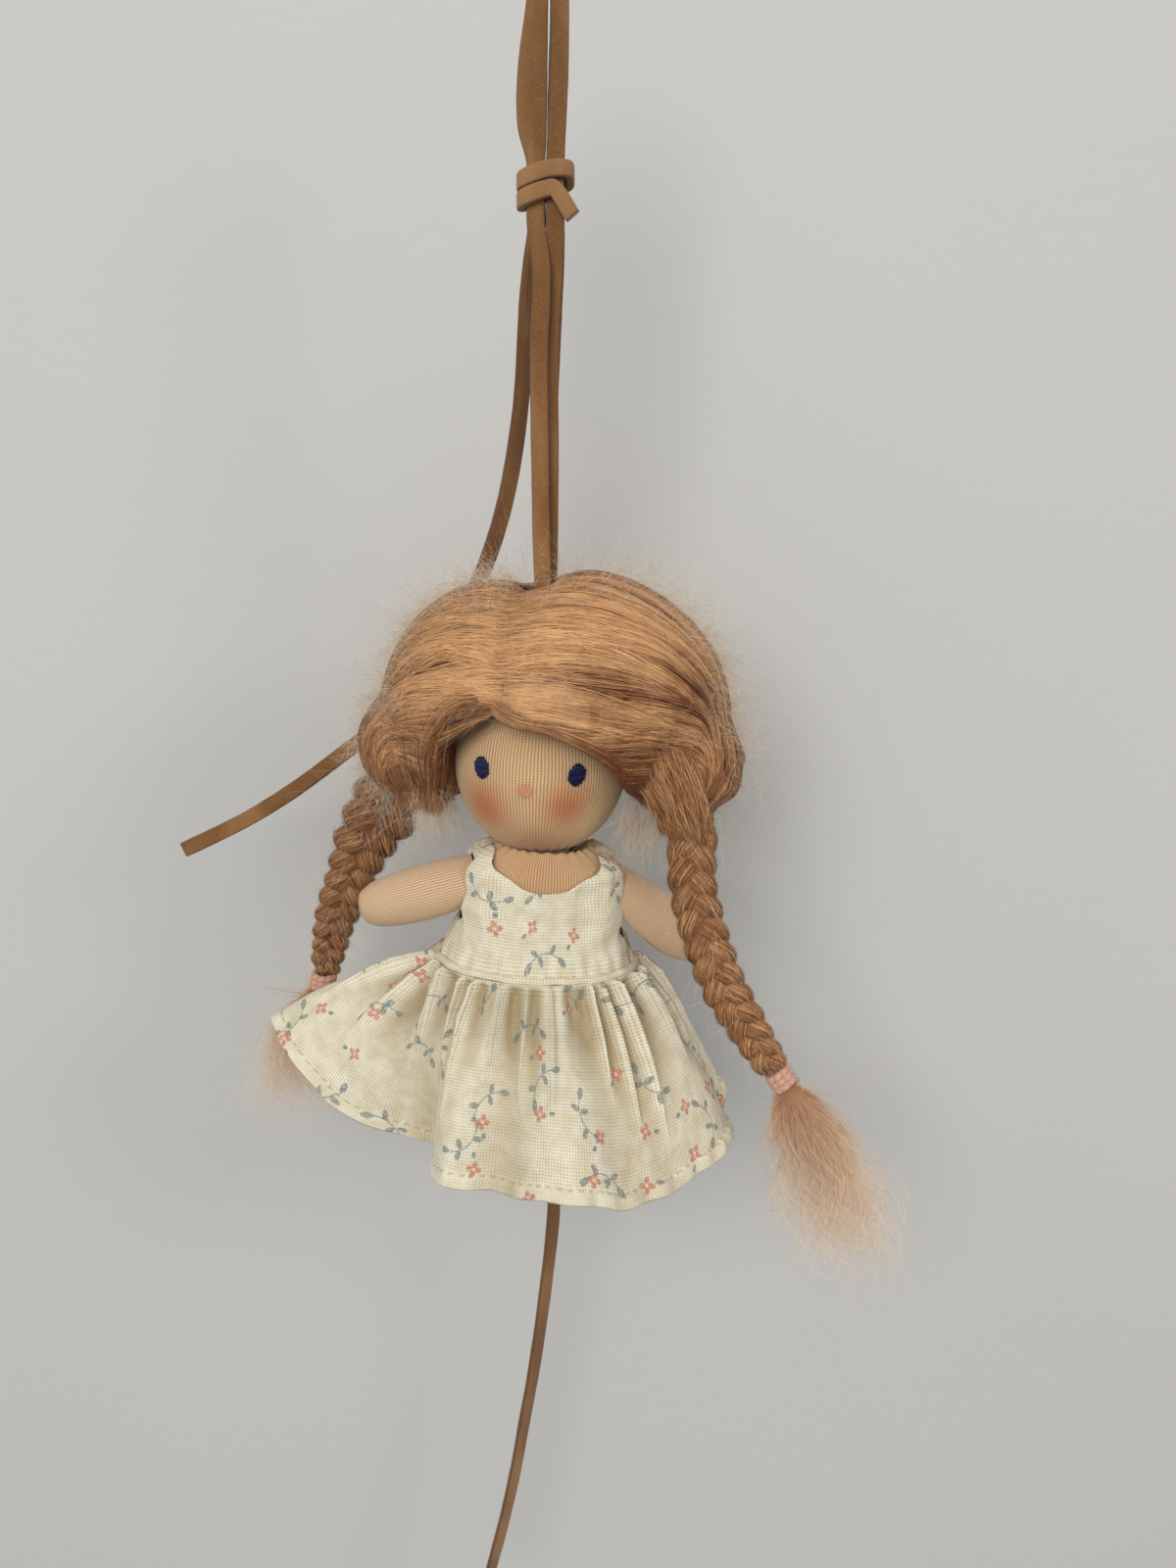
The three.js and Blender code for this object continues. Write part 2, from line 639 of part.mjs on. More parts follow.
function tieSleeve(line) {
  const inner = braidEndHalf + seatGap;
  const outer = inner + tieThick;
  const waist = inner + tieThick / 2;
  const profile = [[inner, 0], [waist, 0], [outer, 0.12], [outer, 0.4], [waist, 0.5],
    [outer, 0.6], [outer, 0.88], [waist, 1], [inner, 1], [inner, 0]];
  const sleeve = new THREE.LatheGeometry(
    profile.map(([r, h]) => new THREE.Vector2(r, h * tieLength)), 14);
  const along = line.getTangent(1);
  sleeve.applyQuaternion(new THREE.Quaternion().setFromUnitVectors(v3(0, 1, 0), along));
  const start = line.getPoint(1).addScaledVector(along, seatGap);
  return sleeve.translate(start.x, start.y, start.z);
}

// The tuft flares out below the tie. Each row is [run share, half width share].
const tuftShares = [[0, 0.22], [0.10, 0.50], [0.30, 0.86], [0.55, 1.0], [0.80, 0.82],
  [1.0, 0.34]];
function tuftSkin(line, length, fall) {
  const along = line.getTangent(1);
  const start = line.getPoint(1).addScaledVector(along, tieLength + 2 * seatGap);
  const rings = tuftShares.map(([run, share]) => {
    const way = along.clone().lerp(fall, run).normalize();
    const centre = start.clone().addScaledVector(way, run * length);
    return crossRing(centre, way, tuftHalf * share, tuftDepthHalf * share, braidSides);
  });
  return ringSkin(rings);
}

const braids = [
  ['left', -1, leftStationShares, leftShares, tuftLengthLeft, v3(-0.12, 0.06, -1)],
  ['right', 1, rightStationShares, rightShares, tuftLengthRight, v3(0.22, 0, -1)],
];
for (const [name, side, stations, shares, tuftLength, fall] of braids) {
  const line = strandLine(side, stations);
  const centre = head.localToWorld(bunchAt(side));
  const socket = ball(bunchRadius + seatGap, bunchRadius + seatGap, bunchRadius + seatGap,
    limbSegments * 2, headRings * 2).translate(centre.x, centre.y, centre.z);
  const plait = solid(braidSkin(line, shares)).add(solid(neckSkin(line, tieLength + seatGap)))
    .subtract(solid(socket));
  addPiece(doll, `braid_${name}`, geometryOf(plait), hair);
  addPiece(doll, `braid_tie_${name}`, tieSleeve(line), elastic);
  addPiece(doll, `tuft_${name}`, tuftSkin(line, tuftLength, fall), hair);
}

// Body: shares of [half width, height] from the bottom up to the neck's base
const torsoShares = [[0, 0], [0.34, 0.012], [0.66, 0.06], [0.88, 0.15], [0.98, 0.26],
  [1, 0.37], [0.965, 0.45], [0.87, 0.55], [0.80, 0.66], [0.775, 0.78], [0.77, 0.89],
  [0.71, 0.96], [0.58, 0.992], [0, 1]];
function torsoForm(grow) {
  const form = stuffed(torsoShares, torsoHalfWidth, torsoHalfDepth, torsoHeight,
    bodySegments, grow);
  return solid(form.translate(0, 0, -torsoHeight));
}
const neckHole = tieRing + neckTieRadius + seatGap;
const neckPocket = solid(rodAlongZ(neckHole, -neckReach - seatGap, cutOverrun));
const torsoSkin = torsoForm(0).subtract(torsoForm(-skinThick)).subtract(neckPocket);
const torsoCore = torsoForm(-skinThick - seatGap).subtract(neckPocket);
addPiece(torso, 'torso_skin', geometryOf(torsoSkin), skin);
addPiece(torso, 'torso_stuffing', geometryOf(torsoCore), wool);

// Limbs: shares of [half width, length] from the root to the rounded tip
const armShares = [[0, 0], [0.9, 0], [1, 0.3], [0.98, 0.5], [0.9, 0.7], [0.78, 0.86],
  [0.5, 0.97], [0, 1]];
const legShares = [[0, 0], [0.95, 0], [1, 0.25], [0.88, 0.5], [0.8, 0.72], [0.84, 0.88],
  [0.55, 0.98], [0, 1]];
function swung(shape, axis, angle, pivot) {
  const there = new THREE.Matrix4().makeTranslation(pivot.x, pivot.y, pivot.z);
  const turn = new THREE.Matrix4().makeRotationAxis(axis, degrees(angle));
  const back = new THREE.Matrix4().makeTranslation(-pivot.x, -pivot.y, -pivot.z);
  return shape.transform(there.multiply(turn).multiply(back).elements);
}

// Every place that a shape passes while it swings, and a little more at both ends
function sweep(shape, axis, [low, high], pivot) {
  const steps = Math.ceil((high - low) / sweepStep);
  let whole = shape;
  for (let i = 0; i <= steps; i++) {
    const angle = THREE.MathUtils.lerp(low - sweepSpare, high + sweepSpare, i / steps);
    whole = whole.add(swung(shape, axis, angle, pivot));
  }
  return whole;
}

// A limb's root is cut by the body in every pose of its swing
function limb(name, shares, half, length, pivot, [forward, spread], axis, range) {
  const place = frame(torso, pivot, [forward, spread, 0]);
  const form = (grow) => {
    const shape = stuffed(shares, half, half, length, limbSegments, grow);
    shape.scale(1, 1, -1);
    shape.index.array.reverse();
    return solid(shape);
  };
  const passed = sweep(torsoForm(seatGap), axis, [-range[1], -range[0]], pivot);
  const bodySeat = solid(seenFrom(geometryOf(passed), torso, place));
  const trim = (piece) => piece.subtract(bodySeat);
  const root = rodAlongZ(half - skinThick, 0, cutOverrun, limbSegments);
  const sleeve = form(0).subtract(form(-skinThick)).subtract(solid(root));
  addPiece(place, name, geometryOf(trim(sleeve)), skin);
  addPiece(place, `${name}_stuffing`, geometryOf(trim(form(-skinThick - seatGap))), wool);
  return sweep(solid(seenFrom(geometryOf(form(seatGap)), place, torso)), axis, range, pivot);
}
const shoulderHigh = -shoulderLow;
const armholeLeft = limb('arm_left', armShares, armHalf, armLength,
  v3(-shoulderApart, 0, shoulderHigh), [-armForward, armSpreadLeft],
  v3(0, 1, 0), [-armLower, armRaise]);
const armholeRight = limb('arm_right', armShares, armHalf, armLength,
  v3(shoulderApart, 0, shoulderHigh), [-armForward, -armSpreadRight],
  v3(0, 1, 0), [-armRaise, armLower]);
limb('leg_left', legShares, legHalf, legLength, v3(-hipApart, 0, -hipLow),
  [-legForward, legSplay], v3(1, 0, 0), [-legSwing, legSwing]);
limb('leg_right', legShares, legHalf, legLength, v3(hipApart, 0, -hipLow),
  [-legForward, -legSplay], v3(1, 0, 0), [-legSwing, legSwing]);

// Dress bodice: a shell round the body, cut out for the neck, the arms and the back slit
function necklineCut(low, from, to) {
  const high = cutOverrun / 2;
  const cut = rodAlongY(necklineHalf, low + high, from, to);
  return solid(cut.translate(0, 0, high));
}

function bodice() {
  const deep = torsoHalfDepth + cutOverrun;
  const wide = torsoHalfWidth + cutOverrun;
  const bottom = -waistLow + pipingRadius + seatGap;
  const below = solid(box(-wide, wide, -deep, deep, -torsoHeight - cutOverrun, bottom));
  const slit = solid(box(-backSlitHalf, backSlitHalf, 0, deep, -backSlitLength, cutOverrun));
  return torsoForm(clothEase + clothThick).subtract(torsoForm(clothEase)).subtract(below)
    .subtract(necklineCut(necklineFrontLow, -deep, 0))
    .subtract(necklineCut(necklineBackLow, -seatGap, deep))
    .subtract(armholeLeft).subtract(armholeRight).subtract(slit);
}
addPiece(torso, 'bodice', geometryOf(bodice()), cloth);

// The button closes the slit at the back of the neck
function backButton() {
  const rim = buttonThick / 4;
  const profile = [[0, 0], [buttonRadius - rim, 0], [buttonRadius, rim],
    [buttonRadius, buttonThick - rim], [buttonRadius - rim, buttonThick],
    [buttonRadius * 0.7, buttonThick], [buttonRadius * 0.6, buttonThick - rim],
    [0, buttonThick - rim]];
  const disc = solid(new THREE.LatheGeometry(
    profile.map(([r, h]) => new THREE.Vector2(r, h)), 18));
  const drill = (x) => solid(new THREE.CylinderGeometry(buttonHoleRadius, buttonHoleRadius,
    3 * buttonThick, 8).translate(x, 0, 0));
  const apart = buttonRadius * 0.32;
  const shape = geometryOf(disc.subtract(drill(-apart)).subtract(drill(apart)));
  const outside = torsoHalfDepth * torsoShares[9][0] + clothEase + clothThick;
  return shape.translate(0, outside + seatGap, -buttonLow);
}
addPiece(torso, 'back_button', backButton(), horn);

const waistHalfWidth = torsoHalfWidth + clothEase + clothThick / 2;
const waistHalfDepth = torsoHalfDepth + clothEase + clothThick / 2;
function piping() {
  const ring = [];
  for (let i = 0; i < ringSides; i++) {
    const angle = 2 * Math.PI * i / ringSides;
    ring.push(new THREE.Vector2(waistHalfWidth + pipingRadius * Math.cos(angle),
      pipingRadius * Math.sin(angle)));
  }
  ring.push(ring[0].clone());
  const geometry = new THREE.LatheGeometry(ring, ringSegments);
  geometry.rotateX(Math.PI / 2);
  const flat = geometry.attributes.position;
  for (let i = 0; i < flat.count; i++) {
    const angle = Math.atan2(flat.getY(i), flat.getX(i));
    const off = Math.hypot(flat.getX(i), flat.getY(i)) - waistHalfWidth;
    flat.setX(i, (waistHalfWidth + off) * Math.cos(angle));
    flat.setY(i, (waistHalfDepth + off) * Math.sin(angle));
  }
  return geometry.translate(0, 0, -waistLow);
}
addPiece(torso, 'waist_piping', piping(), cloth);

// Skirt: the cloth leaves the waist at a flare that changes round the body, and its main
// folds deepen to the hem. A row is [share of a half turn from the front to the left, flare
// as a share of a right angle, share of the length].
const flareShares = [[-1, 0.178, 1], [-0.833, 0.233, 1], [-0.667, 0.344, 1],
  [-0.489, 0.389, 1], [-0.333, 0.344, 1.06], [-0.167, 0.311, 1.1], [0, 0.267, 1.01],
  [0.128, 0.211, 1], [0.228, 0.156, 0.99], [0.322, 0.056, 0.95], [0.378, 0.133, 0.92],
  [0.428, 0.422, 0.91], [0.478, 0.644, 0.92], [0.522, 0.711, 0.95], [0.572, 0.667, 0.97],
  [0.639, 0.467, 1], [0.733, 0.311, 1], [0.856, 0.211, 1], [1, 0.178, 1]];
function flareAt(turnShare) {
  const i = Math.max(flareShares.findIndex(([turn]) => turn >= turnShare), 1);
  const [turn0, lean0, long0] = flareShares[i - 1];
  const [turn1, lean1, long1] = flareShares[i];
  const t = THREE.MathUtils.smoothstep(turnShare, turn0, turn1);
  return [THREE.MathUtils.lerp(lean0, lean1, t), THREE.MathUtils.lerp(long0, long1, t)];
}

const skirtTop = -waistLow - pipingRadius - seatGap - skirtThick / 2;
function skirtPoint(column, down) {
  const turnShare = 2 * column / skirtColumns - 1;
  const angle = Math.PI * turnShare;
  const [lean, long] = flareAt(turnShare);
  const flare = lean * Math.PI / 2;
  const run = down * skirtLength * long;
  const belly = skirtLength * 0.05 * Math.sin(Math.PI * down);
  const fold = foldHalfDepth * Math.sqrt(down) * Math.cos(mainFolds * angle + 1);
  const out = run * Math.sin(flare) + (belly + fold) * Math.cos(flare);
  const fall = run * Math.cos(flare) - (belly + fold) * Math.sin(flare);
  const lie = waistHalfWidth + out;
  const deep = waistHalfDepth + out;
  return v3(-lie * Math.sin(angle), -deep * Math.cos(angle), skirtTop - fall);
}

function skirt() {
  const rings = [];
  for (let row = 0; row <= skirtRows; row++) {
    rings.push(Array.from({ length: skirtColumns },
      (_, column) => skirtPoint(column, row / skirtRows)));
  }
  const normal = (row, column) => {
    const next = (column + 1) % skirtColumns;
    const before = (column + skirtColumns - 1) % skirtColumns;
    const low = Math.min(row + 1, skirtRows);
    const high = Math.max(row - 1, 0);
    const along = rings[row][next].clone().sub(rings[row][before]);
    const down = rings[low][column].clone().sub(rings[high][column]);
    return down.cross(along).normalize();
  };
  const outer = [];
  const inner = [];
  for (let row = 0; row <= skirtRows; row++) {
    outer.push(rings[row].map((p, column) => p.clone()
      .addScaledVector(normal(row, column), skirtThick / 2)));
    inner.push(rings[row].map((p, column) => p.clone()
      .addScaledVector(normal(row, column), -skirtThick / 2)));
  }
  const loop = [...outer, ...inner.reverse()];
  const positions = loop.flat().flatMap((p) => [p.x, p.y, p.z]);
  const index = [];
  for (let r = 0; r < loop.length; r++) {
    for (let s = 0; s < skirtColumns; s++) {
      const a = r * skirtColumns + s;
      const b = r * skirtColumns + (s + 1) % skirtColumns;
      const c = ((r + 1) % loop.length) * skirtColumns + s;
      const d = ((r + 1) % loop.length) * skirtColumns + (s + 1) % skirtColumns;
      index.push(a, c, b, b, c, d);
    }
  }
  const geometry = new THREE.BufferGeometry();
  geometry.setAttribute('position', new THREE.Float32BufferAttribute(positions, 3));
  geometry.setIndex(index);
  return geometry;
}
addPiece(torso, 'skirt', skirt(), cloth);

export default doll;
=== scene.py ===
"""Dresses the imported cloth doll: suede lace, knit skin, mohair hair and a gathered dress."""

import math

import bpy
import numpy as np
from mathutils.bvhtree import BVHTree
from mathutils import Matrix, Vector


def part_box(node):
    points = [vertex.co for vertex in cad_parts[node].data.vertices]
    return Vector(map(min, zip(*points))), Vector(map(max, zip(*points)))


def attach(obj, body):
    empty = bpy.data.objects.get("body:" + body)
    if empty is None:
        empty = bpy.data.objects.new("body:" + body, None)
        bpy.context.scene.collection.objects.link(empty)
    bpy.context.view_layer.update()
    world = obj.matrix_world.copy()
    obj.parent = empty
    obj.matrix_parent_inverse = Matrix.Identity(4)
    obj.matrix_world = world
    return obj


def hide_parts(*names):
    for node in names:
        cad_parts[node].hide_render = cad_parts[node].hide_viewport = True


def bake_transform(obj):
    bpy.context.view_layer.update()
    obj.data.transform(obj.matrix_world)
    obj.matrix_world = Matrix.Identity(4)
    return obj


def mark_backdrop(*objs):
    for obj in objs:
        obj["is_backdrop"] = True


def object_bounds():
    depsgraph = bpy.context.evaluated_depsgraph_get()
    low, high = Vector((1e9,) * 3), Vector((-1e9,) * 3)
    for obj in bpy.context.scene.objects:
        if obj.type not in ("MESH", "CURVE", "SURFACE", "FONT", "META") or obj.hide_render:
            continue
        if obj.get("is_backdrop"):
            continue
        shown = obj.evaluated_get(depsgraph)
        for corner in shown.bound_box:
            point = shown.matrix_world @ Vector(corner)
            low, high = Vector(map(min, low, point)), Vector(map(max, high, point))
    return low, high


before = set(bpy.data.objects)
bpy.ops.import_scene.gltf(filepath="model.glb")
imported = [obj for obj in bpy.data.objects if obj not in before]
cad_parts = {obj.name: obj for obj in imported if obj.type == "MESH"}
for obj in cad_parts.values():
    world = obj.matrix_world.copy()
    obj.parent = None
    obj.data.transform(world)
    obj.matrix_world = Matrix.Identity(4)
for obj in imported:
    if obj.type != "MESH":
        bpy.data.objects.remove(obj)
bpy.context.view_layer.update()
rng = np.random.default_rng(11)
MM = 0.001
TURN = 2 * math.pi


# ---------------------------------------------------------------- camera, light, stage
# where the camera stands in metres, its tilt in degrees and its lens, solved from the photograph
CAMERA_PLACE, CAMERA_TILT, CAMERA_LENS = (0.0077, -0.217, -0.092), 77, 27


def make_camera():
    data = bpy.data.cameras.new("camera")
    data.lens, data.sensor_width, data.sensor_fit = CAMERA_LENS, 36, "AUTO"
    data.clip_start, data.clip_end = 0.005, 20
    camera = bpy.data.objects.new("camera", data)
    camera.location = CAMERA_PLACE
    camera.rotation_euler = (math.radians(CAMERA_TILT), 0, 0)
    bpy.context.scene.collection.objects.link(camera)
    bpy.context.scene.camera = camera


def area_light(name, place, target, size, watts, colour):
    data = bpy.data.lights.new(name, "AREA")
    data.shape, data.size, data.energy, data.color = "DISK", size, watts, colour
    light = bpy.data.objects.new(name, data)
    light.location = place
    away = np.array(place) - np.array(target)
    light.rotation_euler = (
        math.atan2(math.hypot(away[0], away[1]), away[2]),
        0,
        math.atan2(away[1], away[0]) + math.pi / 2,
    )
    bpy.context.scene.collection.objects.link(light)


# ---------------------------------------------------------------- small numeric helpers
def unit(v):
    v = np.asarray(v, float)
    return v / np.maximum(np.linalg.norm(v, axis=-1, keepdims=True), 1e-12)


def smooth(x, low=0.0, high=1.0):
    t = np.clip((np.asarray(x, float) - low) / (high - low), 0, 1)
    return t * t * (3 - 2 * t)


def turned(roll, yaw, origin=(0, 0, 0)):
    """A frame like part.mjs makes: rolled about Y, then turned about Z, then placed."""
    r, y = math.radians(roll), math.radians(yaw)
    about_y = np.array([[math.cos(r), 0, math.sin(r)], [0, 1, 0], [-math.sin(r), 0, math.cos(r)]])
    about_z = np.array([[math.cos(y), -math.sin(y), 0], [math.sin(y), math.cos(y), 0], [0, 0, 1]])
    return about_z @ about_y, np.array(origin, float)


def placed(points, where):
    rotation, origin = where
    return np.asarray(points, float) @ rotation.T + origin


HANG = 119.9
HEAD_SIZE = np.array([16.2, 15.5, 17.6])
HEAD = turned(3, -7.5, (-1.1, 0, -HANG - HEAD_SIZE[2]))
TORSO_TOP = -HANG - 2 * HEAD_SIZE[2] + 0.5
TORSO = turned(4, 6, (-0.6, 0, TORSO_TOP))
ROW = turned(0, 0)


def in_head(points):
    """Points of the row's frame in the head's own frame."""
    return (points - HEAD[1]) @ HEAD[0]


def run_along(points):
    """How far along a line each of its points lies."""
    return np.concatenate([[0], np.cumsum(np.linalg.norm(np.diff(points, axis=0), axis=1))])


def centripetal(points, count):
    """The curve that part.mjs draws through its route points, at even steps, and its length."""
    p = np.asarray(points, float)
    p = np.vstack([2 * p[0] - p[1], p, 2 * p[-1] - p[-2]])
    chords = np.maximum(np.linalg.norm(np.diff(p[:, :3], axis=0), axis=1) ** 0.5, 1e-4)
    t = np.linspace(0, 1, 24, endpoint=False)[:, None]
    fine = []
    for i in range(1, len(p) - 2):
        a, b, c, d = p[i - 1 : i + 3]
        d0, d1, d2 = chords[i - 1 : i + 2]
        m1 = ((b - a) / d0 - (c - a) / (d0 + d1) + (c - b) / d1) * d1
        m2 = ((c - b) / d1 - (d - b) / (d1 + d2) + (d - c) / d2) * d1
        leave = (2 * t**3 - 3 * t**2 + 1) * b + (t**3 - 2 * t**2 + t) * m1
        fine.append(leave + (3 * t**2 - 2 * t**3) * c + (t**3 - t**2) * m2)
    fine = np.vstack([*fine, p[-2:-1]])
    run = run_along(fine[:, :3])
    at = np.linspace(0, run[-1], count)
    return np.column_stack([np.interp(at, run, column) for column in fine.T]), run[-1]


def tangents(points):
    return unit(np.gradient(points, axis=0))


# ---------------------------------------------------------------- meshes
def mesh_piece(name, verts, faces, material, attributes=None, shade=True):
    """A mesh in millimetres, with float attributes on its points."""
    verts = np.asarray(verts, float).reshape(-1, 3) * MM
    faces = np.asarray(faces, np.int32)
    mesh = bpy.data.meshes.new(name)
    mesh.vertices.add(len(verts))
    mesh.vertices.foreach_set("co", verts.astype(np.float32).ravel())
    sides = faces.shape[1]
    mesh.loops.add(faces.size)
    mesh.loops.foreach_set("vertex_index", faces.ravel())
    mesh.polygons.add(len(faces))
    mesh.polygons.foreach_set("loop_start", np.arange(len(faces), dtype=np.int32) * sides)
    mesh.update(calc_edges=True)
    if shade:
        mesh.polygons.foreach_set("use_smooth", np.ones(len(faces), bool))
    for key, values in (attributes or {}).items():
        made = mesh.attributes.new(key, "FLOAT", "POINT")
        made.data.foreach_set("value", np.asarray(values, np.float32).ravel())
    mesh.materials.append(material)
    mesh.validate()
    piece = bpy.data.objects.new(name, mesh)
    bpy.context.scene.collection.objects.link(piece)
    return piece


def fitted(piece, slot, body, *nodes):
    """Puts a piece on its body, in place of CAD nodes; its slot is not used."""
    if nodes:
        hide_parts(*nodes)
    if body:
        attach(piece, body)
    return piece


def grid_faces(rows, columns, closed=True):
    """Four-sided faces between neighbouring rows of points."""
    r = np.arange(rows - 1)[:, None] * columns
    c = np.arange(columns if closed else columns - 1)[None, :]
    n = (c + 1) % columns
    return np.stack([r + c, r + n, r + columns + n, r + columns + c], -1).reshape(-1, 4)


def tube_faces(rows, columns):
    """The sides of a tube, and its ends as fans of four-sided faces. columns is even."""
    ends = [[k, k + 1, columns - 2 - k, columns - 1 - k] for k in range(columns // 2 - 1)]
    ends = np.array(ends)
    return np.vstack([grid_faces(rows, columns), ends[:, ::-1], ends + (rows - 1) * columns])


def tube(points, radius, sides=8, across=None, depth=None):
    """Rings round a line. radius and depth may change along it."""
    t = tangents(points)
    if across is None:
        across = [unit(np.cross(t[0], [0.3, 0.9, 0.31]))]
        for ahead in t[1:]:
            across.append(unit(across[-1] - ahead * (across[-1] @ ahead)))
    across = unit(across - t * np.sum(across * t, axis=1, keepdims=True))
    back = np.cross(t, across)
    angle = np.linspace(0, 2 * np.pi, sides, endpoint=False)[None, :, None]
    radius = np.broadcast_to(radius, len(points))[:, None, None]
    depth = radius if depth is None else depth[:, None, None]
    out = radius * np.cos(angle) * across[:, None] + depth * np.sin(angle) * back[:, None]
    return points[:, None] + out


def tubes_piece(name, rings, material, long, turn="around"):
    """Closed tubes in one piece, marked with where each point lies along and round its tube."""
    many, rows, sides = rings.shape[:3]
    faces = tube_faces(rows, sides) + np.arange(many)[:, None, None] * rows * sides
    marks = {
        "along": np.tile(np.repeat(np.linspace(0, long, rows), sides), many),
        turn: np.tile(np.arange(sides) / sides, many * rows),
    }
    return mesh_piece(name, rings, faces.reshape(-1, 4), material, marks)


def strand_piece(name, body, paths, width, tone, material, facing=None, taper=True, nodes=()):
    """Many fibres as flat ribbons that face outwards, or as thin three-sided rods."""
    count, steps = paths.shape[:2]
    t = unit(np.gradient(paths, axis=1))
    along = np.linspace(0, 1, steps)
    shape = np.clip(np.minimum(along / 0.12, (1 - along) / 0.25), 0.15, 1) if taper else 1
    half = np.reshape(width, (-1, 1)) * (shape * np.ones(steps)) / 2
    if facing is None:
        a = unit(np.cross(t, unit(rng.normal(size=(count, 1, 3)))))
        b = np.cross(t, a)
        corners = [a, -0.5 * a + 0.866 * b, -0.5 * a - 0.866 * b]
    else:
        side = unit(np.cross(t, facing))
        corners = [side, -side]
    verts = np.stack([paths + half[..., None] * c for c in corners], 2)
    sides = len(corners)
    base = (np.arange(count)[:, None, None] * steps + np.arange(steps - 1)[None, :, None]) * sides
    s = np.arange(sides if sides > 2 else 1)[None, None, :]
    n = (s + 1) % sides
    faces = np.stack([base + s, base + n, base + sides + n, base + sides + s], -1).reshape(-1, 4)
    tones = np.broadcast_to(np.reshape(tone, (count, -1)), (count, steps))
    marks = {"tone": np.repeat(tones, sides, axis=1)}
    return fitted(mesh_piece(name, verts, faces, material, marks), "mohair", body, *nodes)


# ---------------------------------------------------------------- materials
def linear(colour):
    """A screen colour, 0 to 255, as the linear colour that a shader takes."""
    c = np.array(colour, float) / 255
    return (*np.where(c <= 0.04045, c / 12.92, ((c + 0.055) / 1.055) ** 2.4), 1.0)


class Value:
    """What a node gives out, with plain arithmetic."""

    def __init__(self, nodes, socket):
        self.nodes, self.socket = nodes, socket

    def also(self, output):
        """Another output of the same node."""
        return Value(self.nodes, self.socket.node.outputs[output])

    def __add__(self, other):
        return self.nodes.math("ADD", self, other)

    def __sub__(self, other):
        return self.nodes.math("SUBTRACT", self, other)

    def __mul__(self, other):
        return self.nodes.math("MULTIPLY", self, other)


class Nodes:
    """A new material, with short names for the nodes that the materials below share."""

    def __init__(self, name, colour, rough, sheen=0.0, subsurface=0.0, specular=0.25):
        self.made = bpy.data.materials.new(name)
        self.made.use_nodes = True
        self.tree = self.made.node_tree
        self.bsdf = self.tree.nodes["Principled BSDF"]
        own = {"Base Color": linear(colour), "Roughness": rough, "Specular IOR Level": specular}
        own |= {"Sheen Weight": sheen, "Sheen Roughness": 0.5, "Subsurface Weight": subsurface}
        own |= {"Subsurface Scale": 0.6 * MM, "Subsurface Radius": (1.0, 0.6, 0.4)}
        for key, value in own.items():
            self.bsdf.inputs[key].default_value = value
        self.place = self.node("TexCoord", "Object")

    def link(self, value, socket):
        if isinstance(value, Value):
            self.tree.links.new(value.socket, socket)
        else:
            socket.default_value = value

    def node(self, kind, output, inputs=(), **settings):
        """An output of a new node, whose inputs are given by name or number."""
        node = self.tree.nodes.new("ShaderNode" + kind)
        for key, value in settings.items():
            setattr(node, key, value)
        for key, value in dict(inputs).items():
            self.link(value, node.inputs[key])
        return Value(self, node.outputs[output])

    def noise(self, scale, detail=3, rough=0.5, vector=None):
        inputs = {"Vector": vector or self.place, "Scale": scale, "Detail": detail, "Roughness": rough}
        return self.node("TexNoise", "Fac", inputs)

    def attribute(self, name):
        return self.node("Attribute", "Fac", attribute_name=name)

    def math(self, operation, *values):
        return self.node("Math", 0, enumerate(values), operation=operation)

    def vector(self, operation, a, b, output=0):
        return self.node("VectorMath", output, {0: a, 1: b}, operation=operation)

    def join(self, x, y):
        return self.node("CombineXYZ", 0, {0: x, 1: y})

    def span(self, value, low, high, to_low=0.0, to_high=1.0):
        """A smooth step from one number to another between two values."""
        keys = ("Value", "From Min", "From Max", "To Min", "To Max")
        inputs = zip(keys, (value, low, high, to_low, to_high))
        return self.node("MapRange", 0, inputs, interpolation_type="SMOOTHSTEP")

    def mix(self, share, a, b):
        """Colour b by a share over colour a. Sockets 6 and 7 are the node's two colours."""
        a, b = (linear(c) if isinstance(c, tuple) else c for c in (a, b))
        return self.node("Mix", 2, {0: share, 6: a, 7: b}, data_type="RGBA")

    def layers(self, tint, *over):
        """A colour with others laid over it, each by its share."""
        for share, colour in over:
            tint = self.mix(share, tint, colour)
        return tint

    def clear_from_behind(self):
        """A backdrop that the camera looks through from its back."""
        seen = self.node("LightPath", "Is Camera Ray") * self.node("NewGeometry", "Backfacing")
        clear, shown = self.node("BsdfTransparent", 0), Value(self, self.bsdf.outputs[0])
        mixed = self.node("MixShader", 0, {0: seen, 1: shown, 2: clear})
        self.link(mixed, self.tree.nodes["Material Output"].inputs["Surface"])

    def finished(self, colour, height=None, distance=0.0, strength=1.0):
        """The material with its colour, and its relief where it has one."""
        self.link(colour, self.bsdf.inputs["Base Color"])
        if height:
            inputs = {"Strength": strength, "Distance": distance * MM, "Height": height}
            self.link(self.node("Bump", 0, inputs), self.bsdf.inputs["Normal"])
        return self.made


